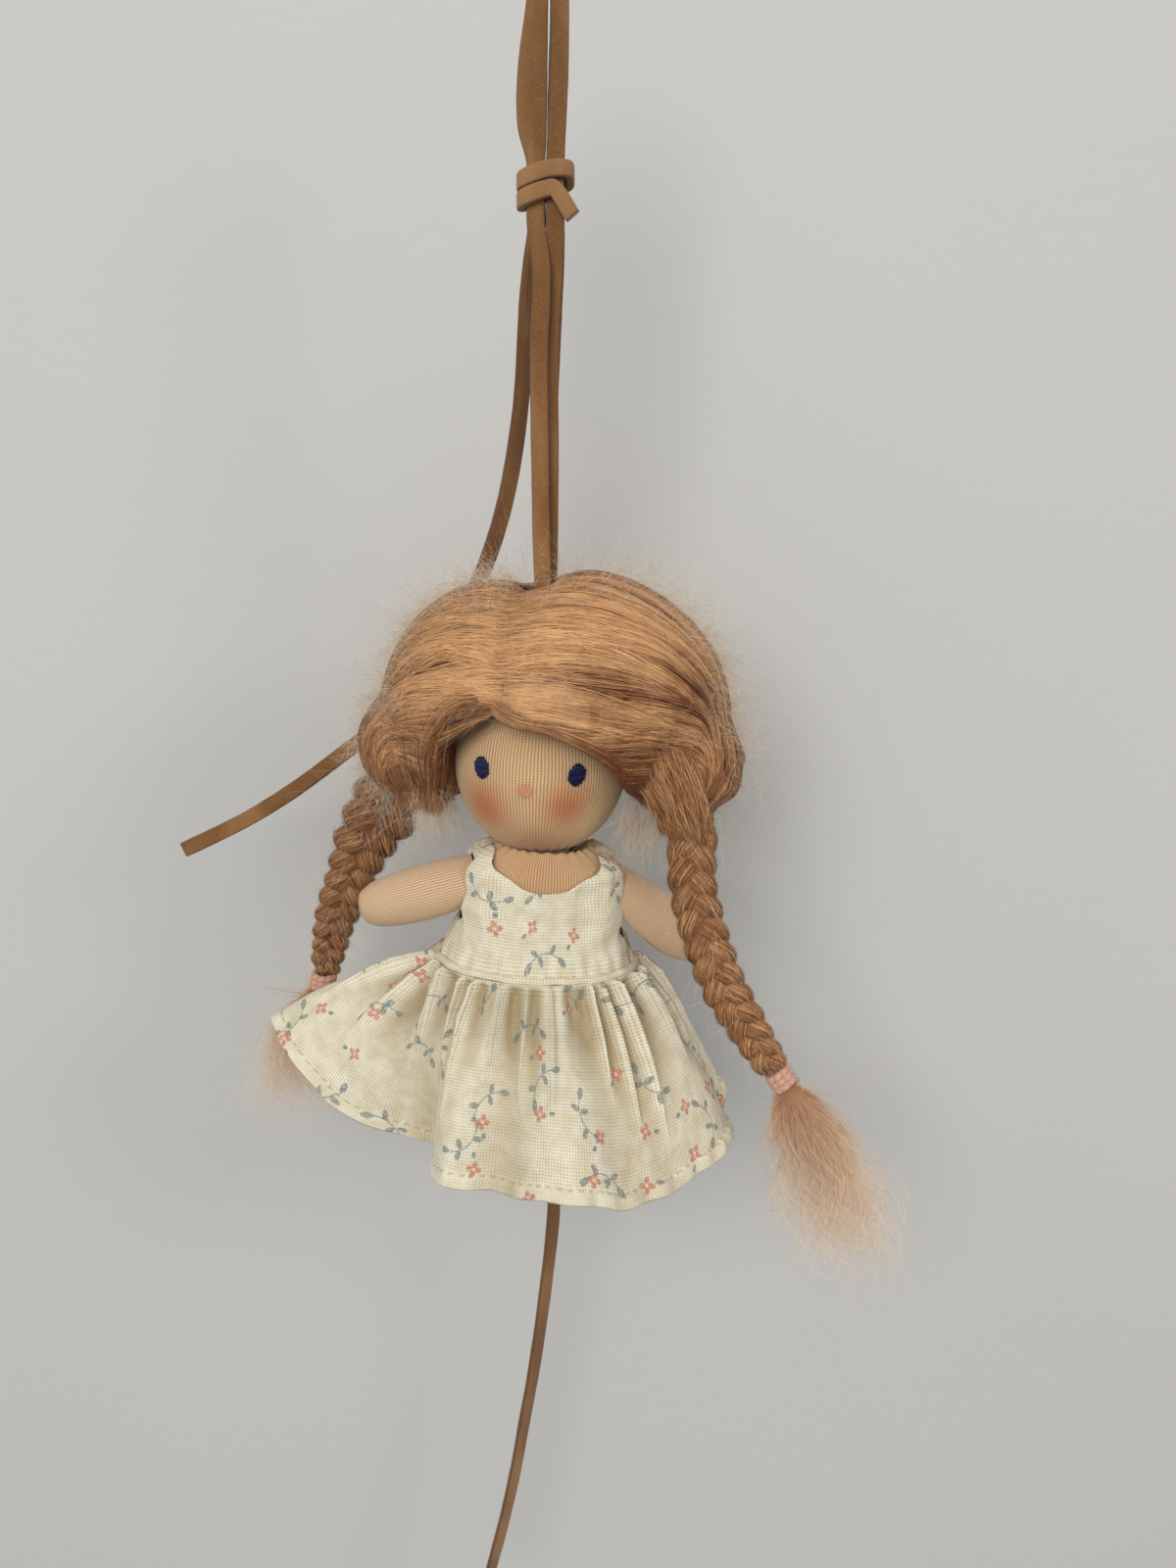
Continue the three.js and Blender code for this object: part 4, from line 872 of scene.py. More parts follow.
angle = np.linspace(0, 2 * np.pi, 61)
round_x, round_z = (np.sign(wave) * np.abs(wave) ** (2 / 3) for wave in (np.cos(angle), np.sin(angle)))
crown = np.column_stack([LOOP_ACROSS * round_x, 0 * angle, LOOP_MIDDLE + LOOP_HIGH * round_z])
stitches("thread_crown_loop", [crown], LOOP_WIRE, THREAD, "thread", "crown_loop", ROW)
tie_low, tie_high = (np.array(corner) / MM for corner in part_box("neck_tie"))
tie = (HEAD[0], (tie_low + tie_high) / 2 - [0, 0, 0.5])
spiral = np.linspace(0, 6 * np.pi, 160)
rise = (spiral / spiral[-1] - 0.5) * 0.9
neck_thread = np.column_stack([6.75 * np.cos(spiral), 6.75 * np.sin(spiral), rise])
stitches("thread_neck_tie", [neck_thread], 0.24, SKIN_THREAD, "thread", "neck_tie", tie)

PART = -4.3
SEAM_START, SEAM_STEP, SEAM_STITCH = 58, 7.2, 5.6
seam = []
for k in range(20):
    start = SEAM_START + SEAM_STEP * k
    t = np.radians(np.linspace(start, start + SEAM_STITCH, 7))
    bow = 1.0 + 0.018 * np.sin(np.linspace(0, np.pi, 7))
    r = math.sqrt(1 - (PART / HEAD_SIZE[0]) ** 2) * bow
    seam.append(np.column_stack([0 * t + PART, -HEAD_SIZE[1] * r * np.cos(t), HEAD_SIZE[2] * r * np.sin(t)]))
stitches("stitched_parting", seam, 0.28, THREAD, "thread", "parting_seam", HEAD)

# ---------------------------------------------------------------- dress
CLOTH = cloth_material()
PIPING = cloth_material("piping_gauze", printed=False)
WAIST, WAIST_GIRTH = np.array([19.1, 13.4]), 102
SKIRT_TOP = -23.45
# azimuth from the front towards the doll's left in the picture, flare, share of the length
FLARES = np.array([
    [-180, 16, 1], [-150, 21, 1], [-120, 31, 1], [-88, 35, 1], [-60, 31, 1.06], [-30, 28, 1.1],
    [0, 24, 1.01], [23, 19, 1], [41, 14, 0.99], [58, 5, 0.95], [68, 12, 0.92], [77, 38, 0.91],
    [86, 58, 0.92], [94, 64, 0.95], [103, 60, 0.97], [115, 42, 1], [132, 28, 1], [154, 19, 1],
    [180, 16, 1],
])


def eased(azimuth, column):
    """A value of the flare table, smoothly between its azimuths."""
    k = np.clip(np.searchsorted(FLARES[:, 0], azimuth, side="right") - 1, 0, len(FLARES) - 2)
    t = smooth(azimuth, FLARES[k, 0], FLARES[k + 1, 0])
    return FLARES[k, column] * (1 - t) + FLARES[k + 1, column] * t


def wave_sum(local, terms, low, high):
    """A smooth seamless wave round the skirt, as a function of its angle."""
    rates = local.integers(low, high, terms)
    phases = local.uniform(0, 2 * np.pi, terms)
    sizes = local.uniform(0.5, 1, terms)

    def value(a):
        return sum(s * np.sin(r * a + p) for r, p, s in zip(rates, phases, sizes)) / terms

    return value


def skirt_points(azimuth, down, lift):
    """A point of the skirt in the torso's frame. lift is outwards from its inner side."""
    local = np.random.default_rng(5)
    flare = np.radians(eased(azimuth, 1))
    length = SKIRT_LONG * eased(azimuth, 2)
    a = np.radians(azimuth)
    run = down * length
    belly = 0.05 * length * np.sin(np.pi * down)
    loose = wave_sum(local, 4, 4, 9)
    fold = np.sqrt(down) * (1.2 * np.cos(11 * a + 1) + 4.6 * loose(a + 0.12 * down))
    swell, drift, slack = (wave_sum(local, 6, 2, 13) for _ in range(3))
    gather = np.cos(12.5 * a + 3.4 * swell(a) + 1.2 * drift(a) * down)
    gather = 1 - 2 * np.abs(gather) ** 0.6
    narrow = np.cos(34 * a + 3.0 * drift(a) + 0.8 * down)
    reach = np.clip(0.55 + 1.1 * slack(a), 0.15, 1)
    long = 1 - smooth(down, 0.12, 0.35 + 0.6 * reach)
    short = 1 - smooth(down, 0.05, 0.30)
    pleat = smooth(down, 0, 0.03) * (2.5 * gather * long + 0.6 * narrow * short)
    sag, crease = wave_sum(local, 7, 9, 26), wave_sum(local, 9, 30, 80)
    crinkle = 0.9 * sag(a + 0.25 * down) * smooth(down, 0.15, 0.8)
    crinkle = crinkle + 0.16 * crease(a + 0.06 * np.sin(5 * down)) * smooth(down, 0.2, 0.9)
    pleat = np.where(pleat < 0, 0.72 * pleat, pleat)
    scallop = wave_sum(local, 6, 8, 26)
    run = run * (1 + 0.022 * scallop(a) * smooth(down, 0.6, 1))
    out = lift + belly + fold + pleat + crinkle
    side = run * np.sin(flare) + out * np.cos(flare)
    fall = run * np.cos(flare) - out * np.sin(flare) - 0.7 * (1 - smooth(down, 0, 0.05))
    place = np.stack(
        [-(WAIST[0] + side) * np.sin(a), -(WAIST[1] + side) * np.cos(a), SKIRT_TOP - fall], -1
    )
    # also how deep in a fold each point lies, for the painted fold shade
    return place, np.clip(-(pleat + 0.7 * crinkle + 0.35 * fold) / 1.5, 0, 1)


def skirt_piece():
    """The skirt's outer side, its turned hem and its inner side, in one closed mesh."""
    columns, rows, thick = 900, 100, 0.75
    azimuth = np.linspace(-180, 180, columns, endpoint=False)[None, :]
    az, dn = np.broadcast_arrays(azimuth, np.linspace(0, 1, rows)[:, None])
    a = np.radians(az)
    hem = smooth(dn, 0.925, 0.94)
    stitch = np.exp(-(((dn - HEM_STITCH_SHARE) / 0.006) ** 2)) * (0.6 + 0.4 * np.cos(a * 190))
    pucker = 0.26 * np.cos(a * 47 + 2 * np.sin(a * 5)) * hem
    outer, fold_shade = skirt_points(az, dn, thick + 0.62 * hem - 0.6 * stitch + pucker)
    inner, _ = skirt_points(az, dn, -0.16 * hem + pucker)
    edge, _ = skirt_points(azimuth, 1.008 + 0 * azimuth, thick / 2 + 0.1)
    rings = np.concatenate([outer, edge, inner[::-1]])
    low_ring = outer[round(0.8 * rows)]
    steps = np.linalg.norm(low_ring - np.roll(low_ring, 1, axis=0), axis=1)
    u, v = np.cumsum(steps)[None, :] + 0 * az, dn * SKIRT_LONG
    marks = {
        "u": np.concatenate([u, u[:1], u[::-1]]),
        "v": np.concatenate([v, v[-1:] + 0.3, 2 * SKIRT_LONG - v[::-1] + 9]),
        # painted shade: in the outside's valleys, and on the inner side everywhere but behind them
        "fold_shade": np.concatenate([fold_shade, fold_shade[-1:], 1 - fold_shade[::-1]]),
    }
    faces = grid_faces(len(rings) + 1, columns) % (columns * len(rings))
    piece = mesh_piece("gathered_skirt", placed(rings, TORSO), faces, CLOTH, marks)
    fitted(piece, "dress_cloth", "torso", "skirt")


def soft_copy(name, node, voxel, smoothing):
    """The CAD solid as a fine even mesh with rounded edges, in the row frame."""
    bpy.context.view_layer.update()
    source = bpy.data.objects[node]
    mesh = source.data.copy()
    mesh.transform(source.matrix_world)
    mesh.materials.clear()
    copy = bpy.data.objects.new(name + "_form", mesh)
    bpy.context.scene.collection.objects.link(copy)
    remesh = copy.modifiers.new("remesh", "REMESH")
    remesh.mode, remesh.voxel_size = "VOXEL", voxel * MM
    relax = copy.modifiers.new("smooth", "SMOOTH")
    relax.factor, relax.iterations = 0.5, smoothing
    made = bpy.data.meshes.new_from_object(copy.evaluated_get(bpy.context.evaluated_depsgraph_get()))
    bpy.data.objects.remove(copy)
    verts, normals = np.empty((2, len(made.vertices) * 3))
    made.vertices.foreach_get("co", verts)
    made.vertices.foreach_get("normal", normals)
    loops = np.empty(len(made.loops), np.int32)
    made.loops.foreach_get("vertex_index", loops)
    bpy.data.meshes.remove(made)
    return verts.reshape(-1, 3) / MM, loops.reshape(-1, 4), normals.reshape(-1, 3)


def bodice_piece():
    """The CAD bodice made soft: tucks above the waist, and armholes that stand open."""
    verts, faces, normals = soft_copy("bodice", "bodice", 0.24, 7)
    x, y, z = ((verts - TORSO[1]) @ TORSO[0]).T
    a = np.arctan2(x, -y)
    tuck = smooth(-z, 14, 21) * np.cos(34 * a) * 0.16
    wave = 0.22 * np.sin(1.1 * z + 3 * np.sin(2 * a)) * np.cos(4 * a + 1)
    verts = verts + normals * (tuck + wave)[:, None]
    high = smooth(-z, -1, 3) * (1 - smooth(-z, 10, 17))
    panel = smooth(np.abs(x), 6, 10) * smooth(np.abs(y), 3, 6)
    spread, sink = 2.2 * high * panel * np.sign(x), 0.8 * smooth(-z, 18, 21)
    verts = verts + np.column_stack([spread, 0 * spread, -sink]) @ TORSO[0].T
    marks = {"u": 17 * np.arctan2(x, np.abs(y) + 0.6), "v": -z}
    piece = mesh_piece("gauze_bodice", verts, faces, CLOTH, marks)
    fitted(piece, "dress_cloth", "torso", "bodice")
    corners = verts[faces] * MM
    cross = np.cross(corners[:, 2] - corners[:, 0], corners[:, 3] - corners[:, 1])


PIPING_Z, PIPING_R, PIPING_GIRTH = -22.0, 0.76, 104


def piping_piece():
    """The covered cord round the waist, between the bodice and the skirt."""
    columns, sides = 301, 14
    a = np.linspace(-np.pi, np.pi, columns)
    z = 0.10 * np.sin(9 * a) + 0.06 * np.sin(23 * a + 1) + PIPING_Z
    ring = np.column_stack([WAIST[0] * np.sin(a), WAIST[1] * np.cos(a), z])
    rings = tube(ring, PIPING_R + 0.04 * np.sin(np.linspace(0, 120, columns)), sides)
    rings[-1] = rings[0]
    marks = {
        "u": np.repeat(np.linspace(0, PIPING_GIRTH, columns), sides),
        "v": np.tile(np.arange(sides) * 0.3, columns),
    }
    piece = mesh_piece("waist_cord", placed(rings, TORSO), grid_faces(columns, sides), PIPING, marks)
    fitted(piece, "dress_cloth", "torso", "waist_piping")


skirt_piece()
bodice_piece()
piping_piece()
button = bpy.data.objects["back_button"]
button.data.materials.clear()
button.data.materials.append(horn_material())

# ---------------------------------------------------------------- hair
HAIR = hair_material()
# pale fibres: a painted glow of the light through fine hair at the outline
HAIR_WISP_GLOW = hair_material("mohair_wisps_glow", (206, 176, 146), (238, 224, 204))
# the loose ends: painted shade at the dense root, painted light towards the thin tips
HAIR_END_PAINTED_LIGHT = hair_material("mohair_ends_painted_light", (202, 138, 84), (246, 220, 190))
# the ground under the fibres and the plaits' cores: painted shade between the fibres
HAIR_MASS_SHADED = hair_ground_material()
HAIR_C, HAIR_S = np.array([1.9, 2.2, 9.6]), np.array([32.6, 24.0, 26.6])
BUNCH_R, BUNCH_RING = 10.6, 2.0
BUNCHES = {-1: np.array([-24.6, 0, 1.4]), 1: np.array([27.4, 0, 1.4])}
GATHER = {-1: np.array([-4.2, 1.5, -8.8]), 1: np.array([0.6, -4.2, -8.9])}
# the angles round the head between which the hair leaves the parting, from the forehead to the nape
ALPHA_LOW, ALPHA_HIGH = math.radians(-26), math.radians(234)


def flow(side, alpha, t):
    """Where a fibre lies that leaves the parting at an angle, in the head's frame.

    It runs out level first, and turns down to the bunch at the side of the head.
    """
    x0 = (PART - HAIR_C[0]) / HAIR_S[0]
    r0 = math.sqrt(1 - x0**2)
    start = np.stack([0 * alpha + x0, -r0 * np.cos(alpha), r0 * np.sin(alpha)], -1)
    pole = unit((BUNCHES[side] - HAIR_C) / HAIR_S)
    out = unit(start * [0, 0.62, 0.80] + [side, 0, 0.10])
    s = t[..., None]
    q = unit((1 - s) ** 2 * start + 2 * s * (1 - s) * out + s**2 * pole)
    turn = np.stack([side * np.sin(alpha), -np.cos(alpha), 0 * alpha], -1)
    w = smooth(s, 0.58, 1.0)
    return (HAIR_C + HAIR_S * q) * (1 - w) + (BUNCHES[side] + GATHER[side] + BUNCH_RING * turn) * w


def hair_front(x, z):
    """The y of the front of the hair, in the head's frame."""
    share = 1 - ((x - HAIR_C[0]) / HAIR_S[0]) ** 2 - ((z - HAIR_C[2]) / HAIR_S[2]) ** 2
    return HAIR_C[1] - HAIR_S[1] * np.sqrt(np.maximum(share, 0.01))


# middle, reach and depth of the hollows that lie in shadow, in the head's frame
SHADOWS = {
    -1: (([-20.0, -12.0, 4.0], 9.0, 0.26),),
    1: (
        ([26.0, -11.0, 15.0], 7.5, 0.47), ([20.0, -14.0, 4.0], 10.5, 0.56),
        ([15.0, -19.0, 16.0], 8.5, 0.36), ([30.0, -4.0, 4.0], 9.0, 0.22),
    ),
}


def in_shadow(side, points):
    """How much darker the hair is where it turns under."""
    apart = [np.sum((points - middle) ** 2, -1) / reach**2 for middle, reach, _ in SHADOWS[side]]
    return np.max([depth * np.exp(-a) for a, (_, _, depth) in zip(apart, SHADOWS[side])], axis=0)


def snapped(tree, points):
    """The nearest spots of a surface and its normals there."""
    found = [tree.find_nearest(p)[:2] for p in points.reshape(-1, 3)]
    spots, normals = np.moveaxis(np.array(found, float), 1, 0)
    return spots.reshape(points.shape), normals.reshape(points.shape)


def random_wave(local, count, size, rate, t):
    """A wave along each fibre, its size and rate drawn between two bounds each."""
    size, rate = local.uniform(*size, (count, 1)), local.uniform(*rate, (count, 1))
    return size * np.sin(2 * np.pi * rate * t + local.uniform(0, 6.28, (count, 1)))


def parting_closed(side, local):
    """Draws the wall along the parting over to the middle of the gap."""
    gap = side * (local[:, 0] - PART)
    local[:, 0] -= side * (1 - smooth(gap, 0.8, 5.0)) * np.clip(gap + 0.35, 0, 2.6)
    return local


def rounded_under(side, local):
    """The mass drawn in below the eyes, so that it hangs round and not square."""
    x, y, z = local.T
    low, wide = smooth(3 - z, 0, 12.6), side * x
    if side > 0:
        z = np.where(z < 0, z * (0.25 + 0.75 * smooth(wide, 15, 25)), z)
    x = x + side * 1.6 * low * (1 - smooth(wide, 17, 25))
    return np.column_stack([x, y * (1 - (0.45 if side > 0 else 0.30) * low), z])


LACE_CHANNEL, CHANNEL_X = np.array([2.3, 3.0]), 0.15


def away_from_lace(points):
    """Moves fibres out of the channel that the lace runs down, at the crown."""
    middle = np.array([CHANNEL_X, 0.0])
    off = points[..., :2] - middle
    near = np.maximum(np.linalg.norm(off / LACE_CHANNEL, axis=-1), 1e-3)
    push = np.where((near < 1) & (points[..., 2] > -116.5), 1 / near, 1.0)
    points = points.copy()
    points[..., :2] = off * push[..., None] + middle
    return points


# corners of the hairline from the peak down each side, in shares of the head's half sizes
RIMS = {
    -1: [(-0.50, 0.77), (-0.71, 0.71), (-0.93, 0.48), (-1.04, 0.17), (-1.06, -0.20), (-1.08, -0.50)],
    1: [(-0.44, 0.72), (-0.10, 0.58), (0.28, 0.52), (0.68, 0.37), (0.96, 0.17), (1.06, -0.12),
        (1.10, -0.45)],
}


def rim(side, word, tree):
    """Fibres that follow the hairline and roll over its edge towards the face."""
    local = np.random.default_rng(40 + side)
    corners = np.array(RIMS[side]) * [HEAD_SIZE[0], HEAD_SIZE[2]]
    line, _ = centripetal(np.column_stack([corners, np.zeros(len(corners))]), 120)
    line = line[:, :2]
    count, steps, roll = (2400, 22, 11.0) if side < 0 else (1500, 22, 7.0)
    s = np.linspace(0, 1, steps)
    first = local.beta(1.0, 2.2, (count, 1)) * 0.6
    last = np.clip(first + local.uniform(0.25, 0.75, (count, 1)), 0, 1)
    along = first + (last - first) * s
    at = along * (len(line) - 1)
    ahead = unit(np.gradient(line, axis=0))
    x, z, tx, tz = (np.interp(at, np.arange(len(line)), column) for column in (*line.T, *ahead.T))
    away = 0.9 * side * (np.abs(local.normal(0, 1.0, (count, 1))) + (last - first) * 2.2 * s**2)
    x, z = x - tz * away, z + tx * away
    deep = local.beta(1.1, 1.7, (count, 1)) * roll * smooth(along, 0.0, 0.35)
    y = np.minimum(hair_front(x, z) + deep, head_front(x, z) - 0.7)
    paths = placed(np.stack([x, y, z], -1), HEAD)
    spots, facing = snapped(tree, paths)
    paths = spots * 0.7 + paths * 0.3 + facing * local.normal(0.3, 0.22, (count, 1, 1))
    # painted shade: darker the further back a fibre rolls under the edge
    tone = local.normal(0.46, 0.16, (count, 1)) - 0.03 * deep
    tone = np.clip(tone - in_shadow(side, np.stack([x, y, z], -1)), 0, 1.1)
    width = local.uniform(0.06, 0.12, count)
    strand_piece(f"hairline_{word}", "head", paths, width, tone, HAIR, unit(facing + [0, -1.5, 0.4]))


def curtain(side, word, tree):
    """Fibres that hang over the lower front of the mass and over its wall beside the face."""
    local = np.random.default_rng(50 + side)
    count, steps = 2600, 20
    s = np.linspace(0, 1, steps)[None, :]
    share = local.uniform(0, 1, (count, 1))
    wall = local.uniform(0, 1, (count, 1)) < 0.4
    sweep, high = (0.0, 10) if side < 0 else (6.5, 2.5)
    x0 = 15.8 + np.where(wall, local.uniform(0, 2.0, (count, 1)), (15 - sweep) * share)
    x1 = 17.2 + sweep + np.where(wall, local.uniform(0, 3.5, (count, 1)), (11 - sweep) * share)
    x = side * (x0 + (x1 - x0) * s)
    top = local.uniform(-3, high, (count, 1))
    under = -9.2 if side < 0 else -9.6 * (0.25 + 0.75 * smooth(x1, 15, 25))
    z = top + (under + local.normal(-0.2, 0.5, (count, 1)) - top) * s**1.15
    y = hair_front(x, np.maximum(z, 0)) + np.where(wall, local.uniform(0, 16, (count, 1)), 0)
    inside = np.stack([x, y * (1 - 0.4 * smooth(3 - z, 0, 12.6)), z], -1)
    raw = placed(inside, HEAD)
    spots, facing = snapped(tree, raw)
    free = smooth(s, 0.80, 1.0)[..., None]
    wave = random_wave(local, count, (0.05, 0.35), (0.6, 2.2), s)
    across = unit(np.cross(np.gradient(spots, axis=1), facing))
    paths = spots * (1 - free) + raw * free
    paths = paths + facing * local.normal(0.15, 0.25, (count, 1, 1)) + across * wave[..., None]
    # painted shade: darker towards the lower ends, where the hair turns under
    tone = local.normal(0.42, 0.15, (count, 1)) - 0.12 * s
    tone = np.clip(tone - 0.7 * in_shadow(side, inside), 0, 1.1)
    width = local.uniform(0.06, 0.12, count)
    strand_piece(f"curtain_{word}", "head", paths, width, tone, HAIR, unit(facing + [0, -1.0, 0.2]))


def parting_cover(trees):
    """Fibres that cross the parting, so that it shows as a soft change of direction."""
    local = np.random.default_rng(77)
    count, steps = 3400, 22
    alpha = local.uniform(math.radians(4), ALPHA_HIGH - math.radians(12), (count, 1))
    side = np.where(local.uniform(0, 1, (count, 1)) < 0.5, -1, 1)
    s = np.linspace(0, 1, steps)[None, :]
    over = local.uniform(1.2, 4.5, (count, 1))
    reach = local.uniform(5, 12, (count, 1))
    u = side * (-over + (over + reach) * s)
    alpha = alpha + local.normal(0, 0.02, (count, 1)) + local.normal(0.0, 0.05, (count, 1)) * s
    x = (PART + u - HAIR_C[0]) / HAIR_S[0]
    r = np.sqrt(1 - x**2)
    paths = placed(HAIR_C + HAIR_S * np.stack([x, -r * np.cos(alpha), r * np.sin(alpha)], -1), HEAD)
    spots_l, facing_l = snapped(trees[-1], paths)
    spots_r, facing_r = snapped(trees[1], paths)
    w = smooth(u, -1.8, 1.8)[..., None]
    facing = unit(facing_l * (1 - w) + facing_r * w)
    height = local.uniform(0.0, 0.55, (count, 1)) * np.sin(np.pi * s) ** 0.5 - 0.15
    paths = away_from_lace(spots_l * (1 - w) + spots_r * w + facing * height[..., None])
    # painted light: these fibres on top at the parting are lighter than the rest
    tone = np.clip(local.normal(0.66, 0.14, (count, 1)), 0, 1.1)
    width = local.uniform(0.05, 0.11, count)
    strand_piece("parting_fibres", "head", paths, width, tone, HAIR, facing)


def hair_mass(side, word):
    """The soft ground under the fibres of one side, and a tree to find its surface."""
    verts, faces, normals = soft_copy(f"mass_{word}", f"hair_{word}", 0.6, 90)
    verts = placed(rounded_under(side, parting_closed(side, in_head(verts))), HEAD)
    inner = verts - normals * 0.75
    q, pole = (unit((p - HAIR_C) / HAIR_S) for p in (in_head(inner), BUNCHES[side]))
    e1 = unit(np.cross(pole, [0, 1, 0.2]))
    e2 = np.cross(pole, e1)
    marks = {"across": np.arctan2(q @ e2, q @ e1), "along": np.arccos(np.clip(q @ pole, -1, 1))}
    piece = mesh_piece(f"hair_mass_{word}", inner, faces, HAIR_MASS_SHADED, marks)
    fitted(piece, "mohair", "head", f"hair_{word}")
    return BVHTree.FromPolygons(verts.tolist(), faces.tolist())


def combed_hair(side, word, tree, local, locks, per_lock):
    """Fibres in locks from the parting to the bunch."""
    count, steps = locks * per_lock, 32
    t = np.linspace(0, 1, steps)[None, :]
    centre = np.linspace(ALPHA_LOW, ALPHA_HIGH, locks) + local.normal(0, 0.02, locks)
    lock = np.repeat(np.arange(locks), per_lock)
    sigma = local.uniform(0.034, 0.062, locks)[lock]
    spread = local.normal(0, 1, count) * sigma
    phase = local.uniform(0, 6.28, (locks, 2))[lock]
    rate = local.uniform(0.6, 1.5, locks)[lock]
    drift = 0.05 * np.sin(2 * np.pi * rate[:, None] * t + phase[:, :1])
    pinch = 1 - 0.5 * np.sin(np.pi * np.clip(t * 1.15, 0, 1)) ** 2
    own = local.normal(0, 0.025, (count, 1)) * np.sin(np.pi * t + local.uniform(0, 6.28, (count, 1)))
    alpha = centre[lock][:, None] + drift + spread[:, None] * pinch + own
    late = local.uniform(-0.03, 0.03, (count, 1))
    spots, facing = snapped(tree, placed(flow(side, alpha, late + (1 - late) * t), HEAD))
    across = unit(np.cross(np.gradient(spots, axis=1), facing))
    hump = np.sqrt(np.clip(1 - (spread / (2.2 * sigma)) ** 2, 0, 1))
    deep = local.uniform(0, 1, count) ** 2
    rise = 0.55 * hump - 0.75 * deep + local.normal(0, 0.10, count)
    crimp = random_wave(local, count, (0.03, 0.13), (5, 11), t)
    height = rise[:, None] * (0.55 + 0.45 * smooth(t, 0, 0.2)) + crimp - 1.0 + smooth(t, 0, 0.08)
    sway = random_wave(local, count, (0.02, 0.12), (3, 9), t)
    fibres = away_from_lace(spots + facing * height[..., None] + across * sway[..., None])
    tilt = (spread / sigma * 0.30)[:, None, None] * across
    # painted shade on fibres that lie deeper; painted light near the parting, and painted shade towards the
    # bunch
    tone = local.normal(0.56, 0.13, locks)[lock] + local.normal(0, 0.13, count) - 0.22 * deep
    tone = tone[:, None] + 0.18 - 0.38 * smooth(t, 0.45, 1.0)
    tone = np.clip(tone - in_shadow(side, in_head(fibres)), 0.0, 1.1)
    width = local.uniform(0.07, 0.15, count)
    facing = unit(facing + tilt)
    strand_piece(f"combed_hair_{word}", "head", fibres, width, tone, HAIR, facing, taper=False)


def flyaway(side, word, tree, local):
    """Short fibres that stand off the mass, most of them at its outline, as mohair does."""
    count, steps = 10500, 12
    alpha = local.uniform(ALPHA_LOW + 0.3, ALPHA_HIGH, (count, 1)) + np.zeros((1, 2))
    at = local.uniform(0.02, 0.97, (count, 1)) + np.array([[0, 0.02]])
    roots, facing = snapped(tree, placed(flow(side, alpha, at), HEAD))
    kept = local.uniform(0, 1, count) < np.clip(1.15 - 1.6 * np.abs(facing[:, 0, 1]), 0.025, 1)
    x, y, z = in_head(roots[:, 0]).T
    kept &= ~((np.abs(x) < 19) & (z < 11) & (y < -6))
    kept &= (np.hypot(x - 2, y) > 8) | (local.uniform(0, 1, count) < 0.25)
    roots, up, count = roots[kept], facing[kept][:, :1], int(kept.sum())
    onward = unit(roots[:, 1:] - roots[:, :1] + 1e-6)
    long = local.gamma(2.2, 2.1 if side > 0 else 1.7, (count, 1, 1)) + 0.8
    s = np.linspace(0, 1, steps)[None, :, None]
    curl, other = (local.normal(0, 1, (count, 1, 3)) for _ in range(2))
    lean = unit(up * local.uniform(0.1, 1.3, (count, 1, 1)) + 0.7 * onward + 0.5 * curl)
    bend = other - lean * np.sum(other * lean, axis=-1, keepdims=True)
    wave = np.sin(2 * np.pi * s * local.uniform(0.5, 1.8, (count, 1, 1)))
    way = lean * s + 0.40 * bend * s**1.6 + 0.16 * curl * wave
    fuzz = away_from_lace(roots[:, :1] + up * 0.3 + long * way)
    strand_piece(f"flyaway_{word}", "head", fuzz, 0.034, local.uniform(0.3, 1.1, count), HAIR_WISP_GLOW)


def hair_side(side, word, locks, per_lock):
    """One side of the hair: its mass and the fibres over it."""
    local = np.random.default_rng(20 + side)
    tree = hair_mass(side, word)
    combed_hair(side, word, tree, local, locks, per_lock)
    rim(side, word, tree)
    curtain(side, word, tree)
    flyaway(side, word, tree, local)
    return tree


# middles of the braids from the bunch on, in bunch radii
STATIONS = {
    -1: [[-0.30, 0.30, -0.62], [-0.62, 0.47, -1.20], [-1.08, 0.74, -1.98], [-1.42, 0.93, -2.72],
         [-1.72, 1.10, -3.40], [-1.98, 1.26, -4.24], [-2.14, 1.36, -4.86]],
    1: [[0.02, -0.30, -0.62], [0.05, -0.62, -1.12], [0.06, -0.80, -1.90], [0.30, -0.92, -2.90],
        [0.64, -1.00, -3.75], [1.10, -1.08, -4.55], [1.50, -1.16, -5.15]],
}
BRAID_WIDE = 7.2
BRAID_HALF_SHARES = {
    -1: [0.84, 1.06, 0.90, 0.74, 0.66, 0.58, 0.44], 1: [0.62, 0.66, 0.64, 0.64, 0.62, 0.58, 0.46],
}
TUFT_LONG = {-1: 30, 1: 38}
TUFT_FALL = {-1: unit([-0.12, 0.06, -1]), 1: unit([0.22, 0, -1])}
# how far a stray fibre of a tuft may go past the CAD tuft at its sides
STRAY_ROOM = 12.0


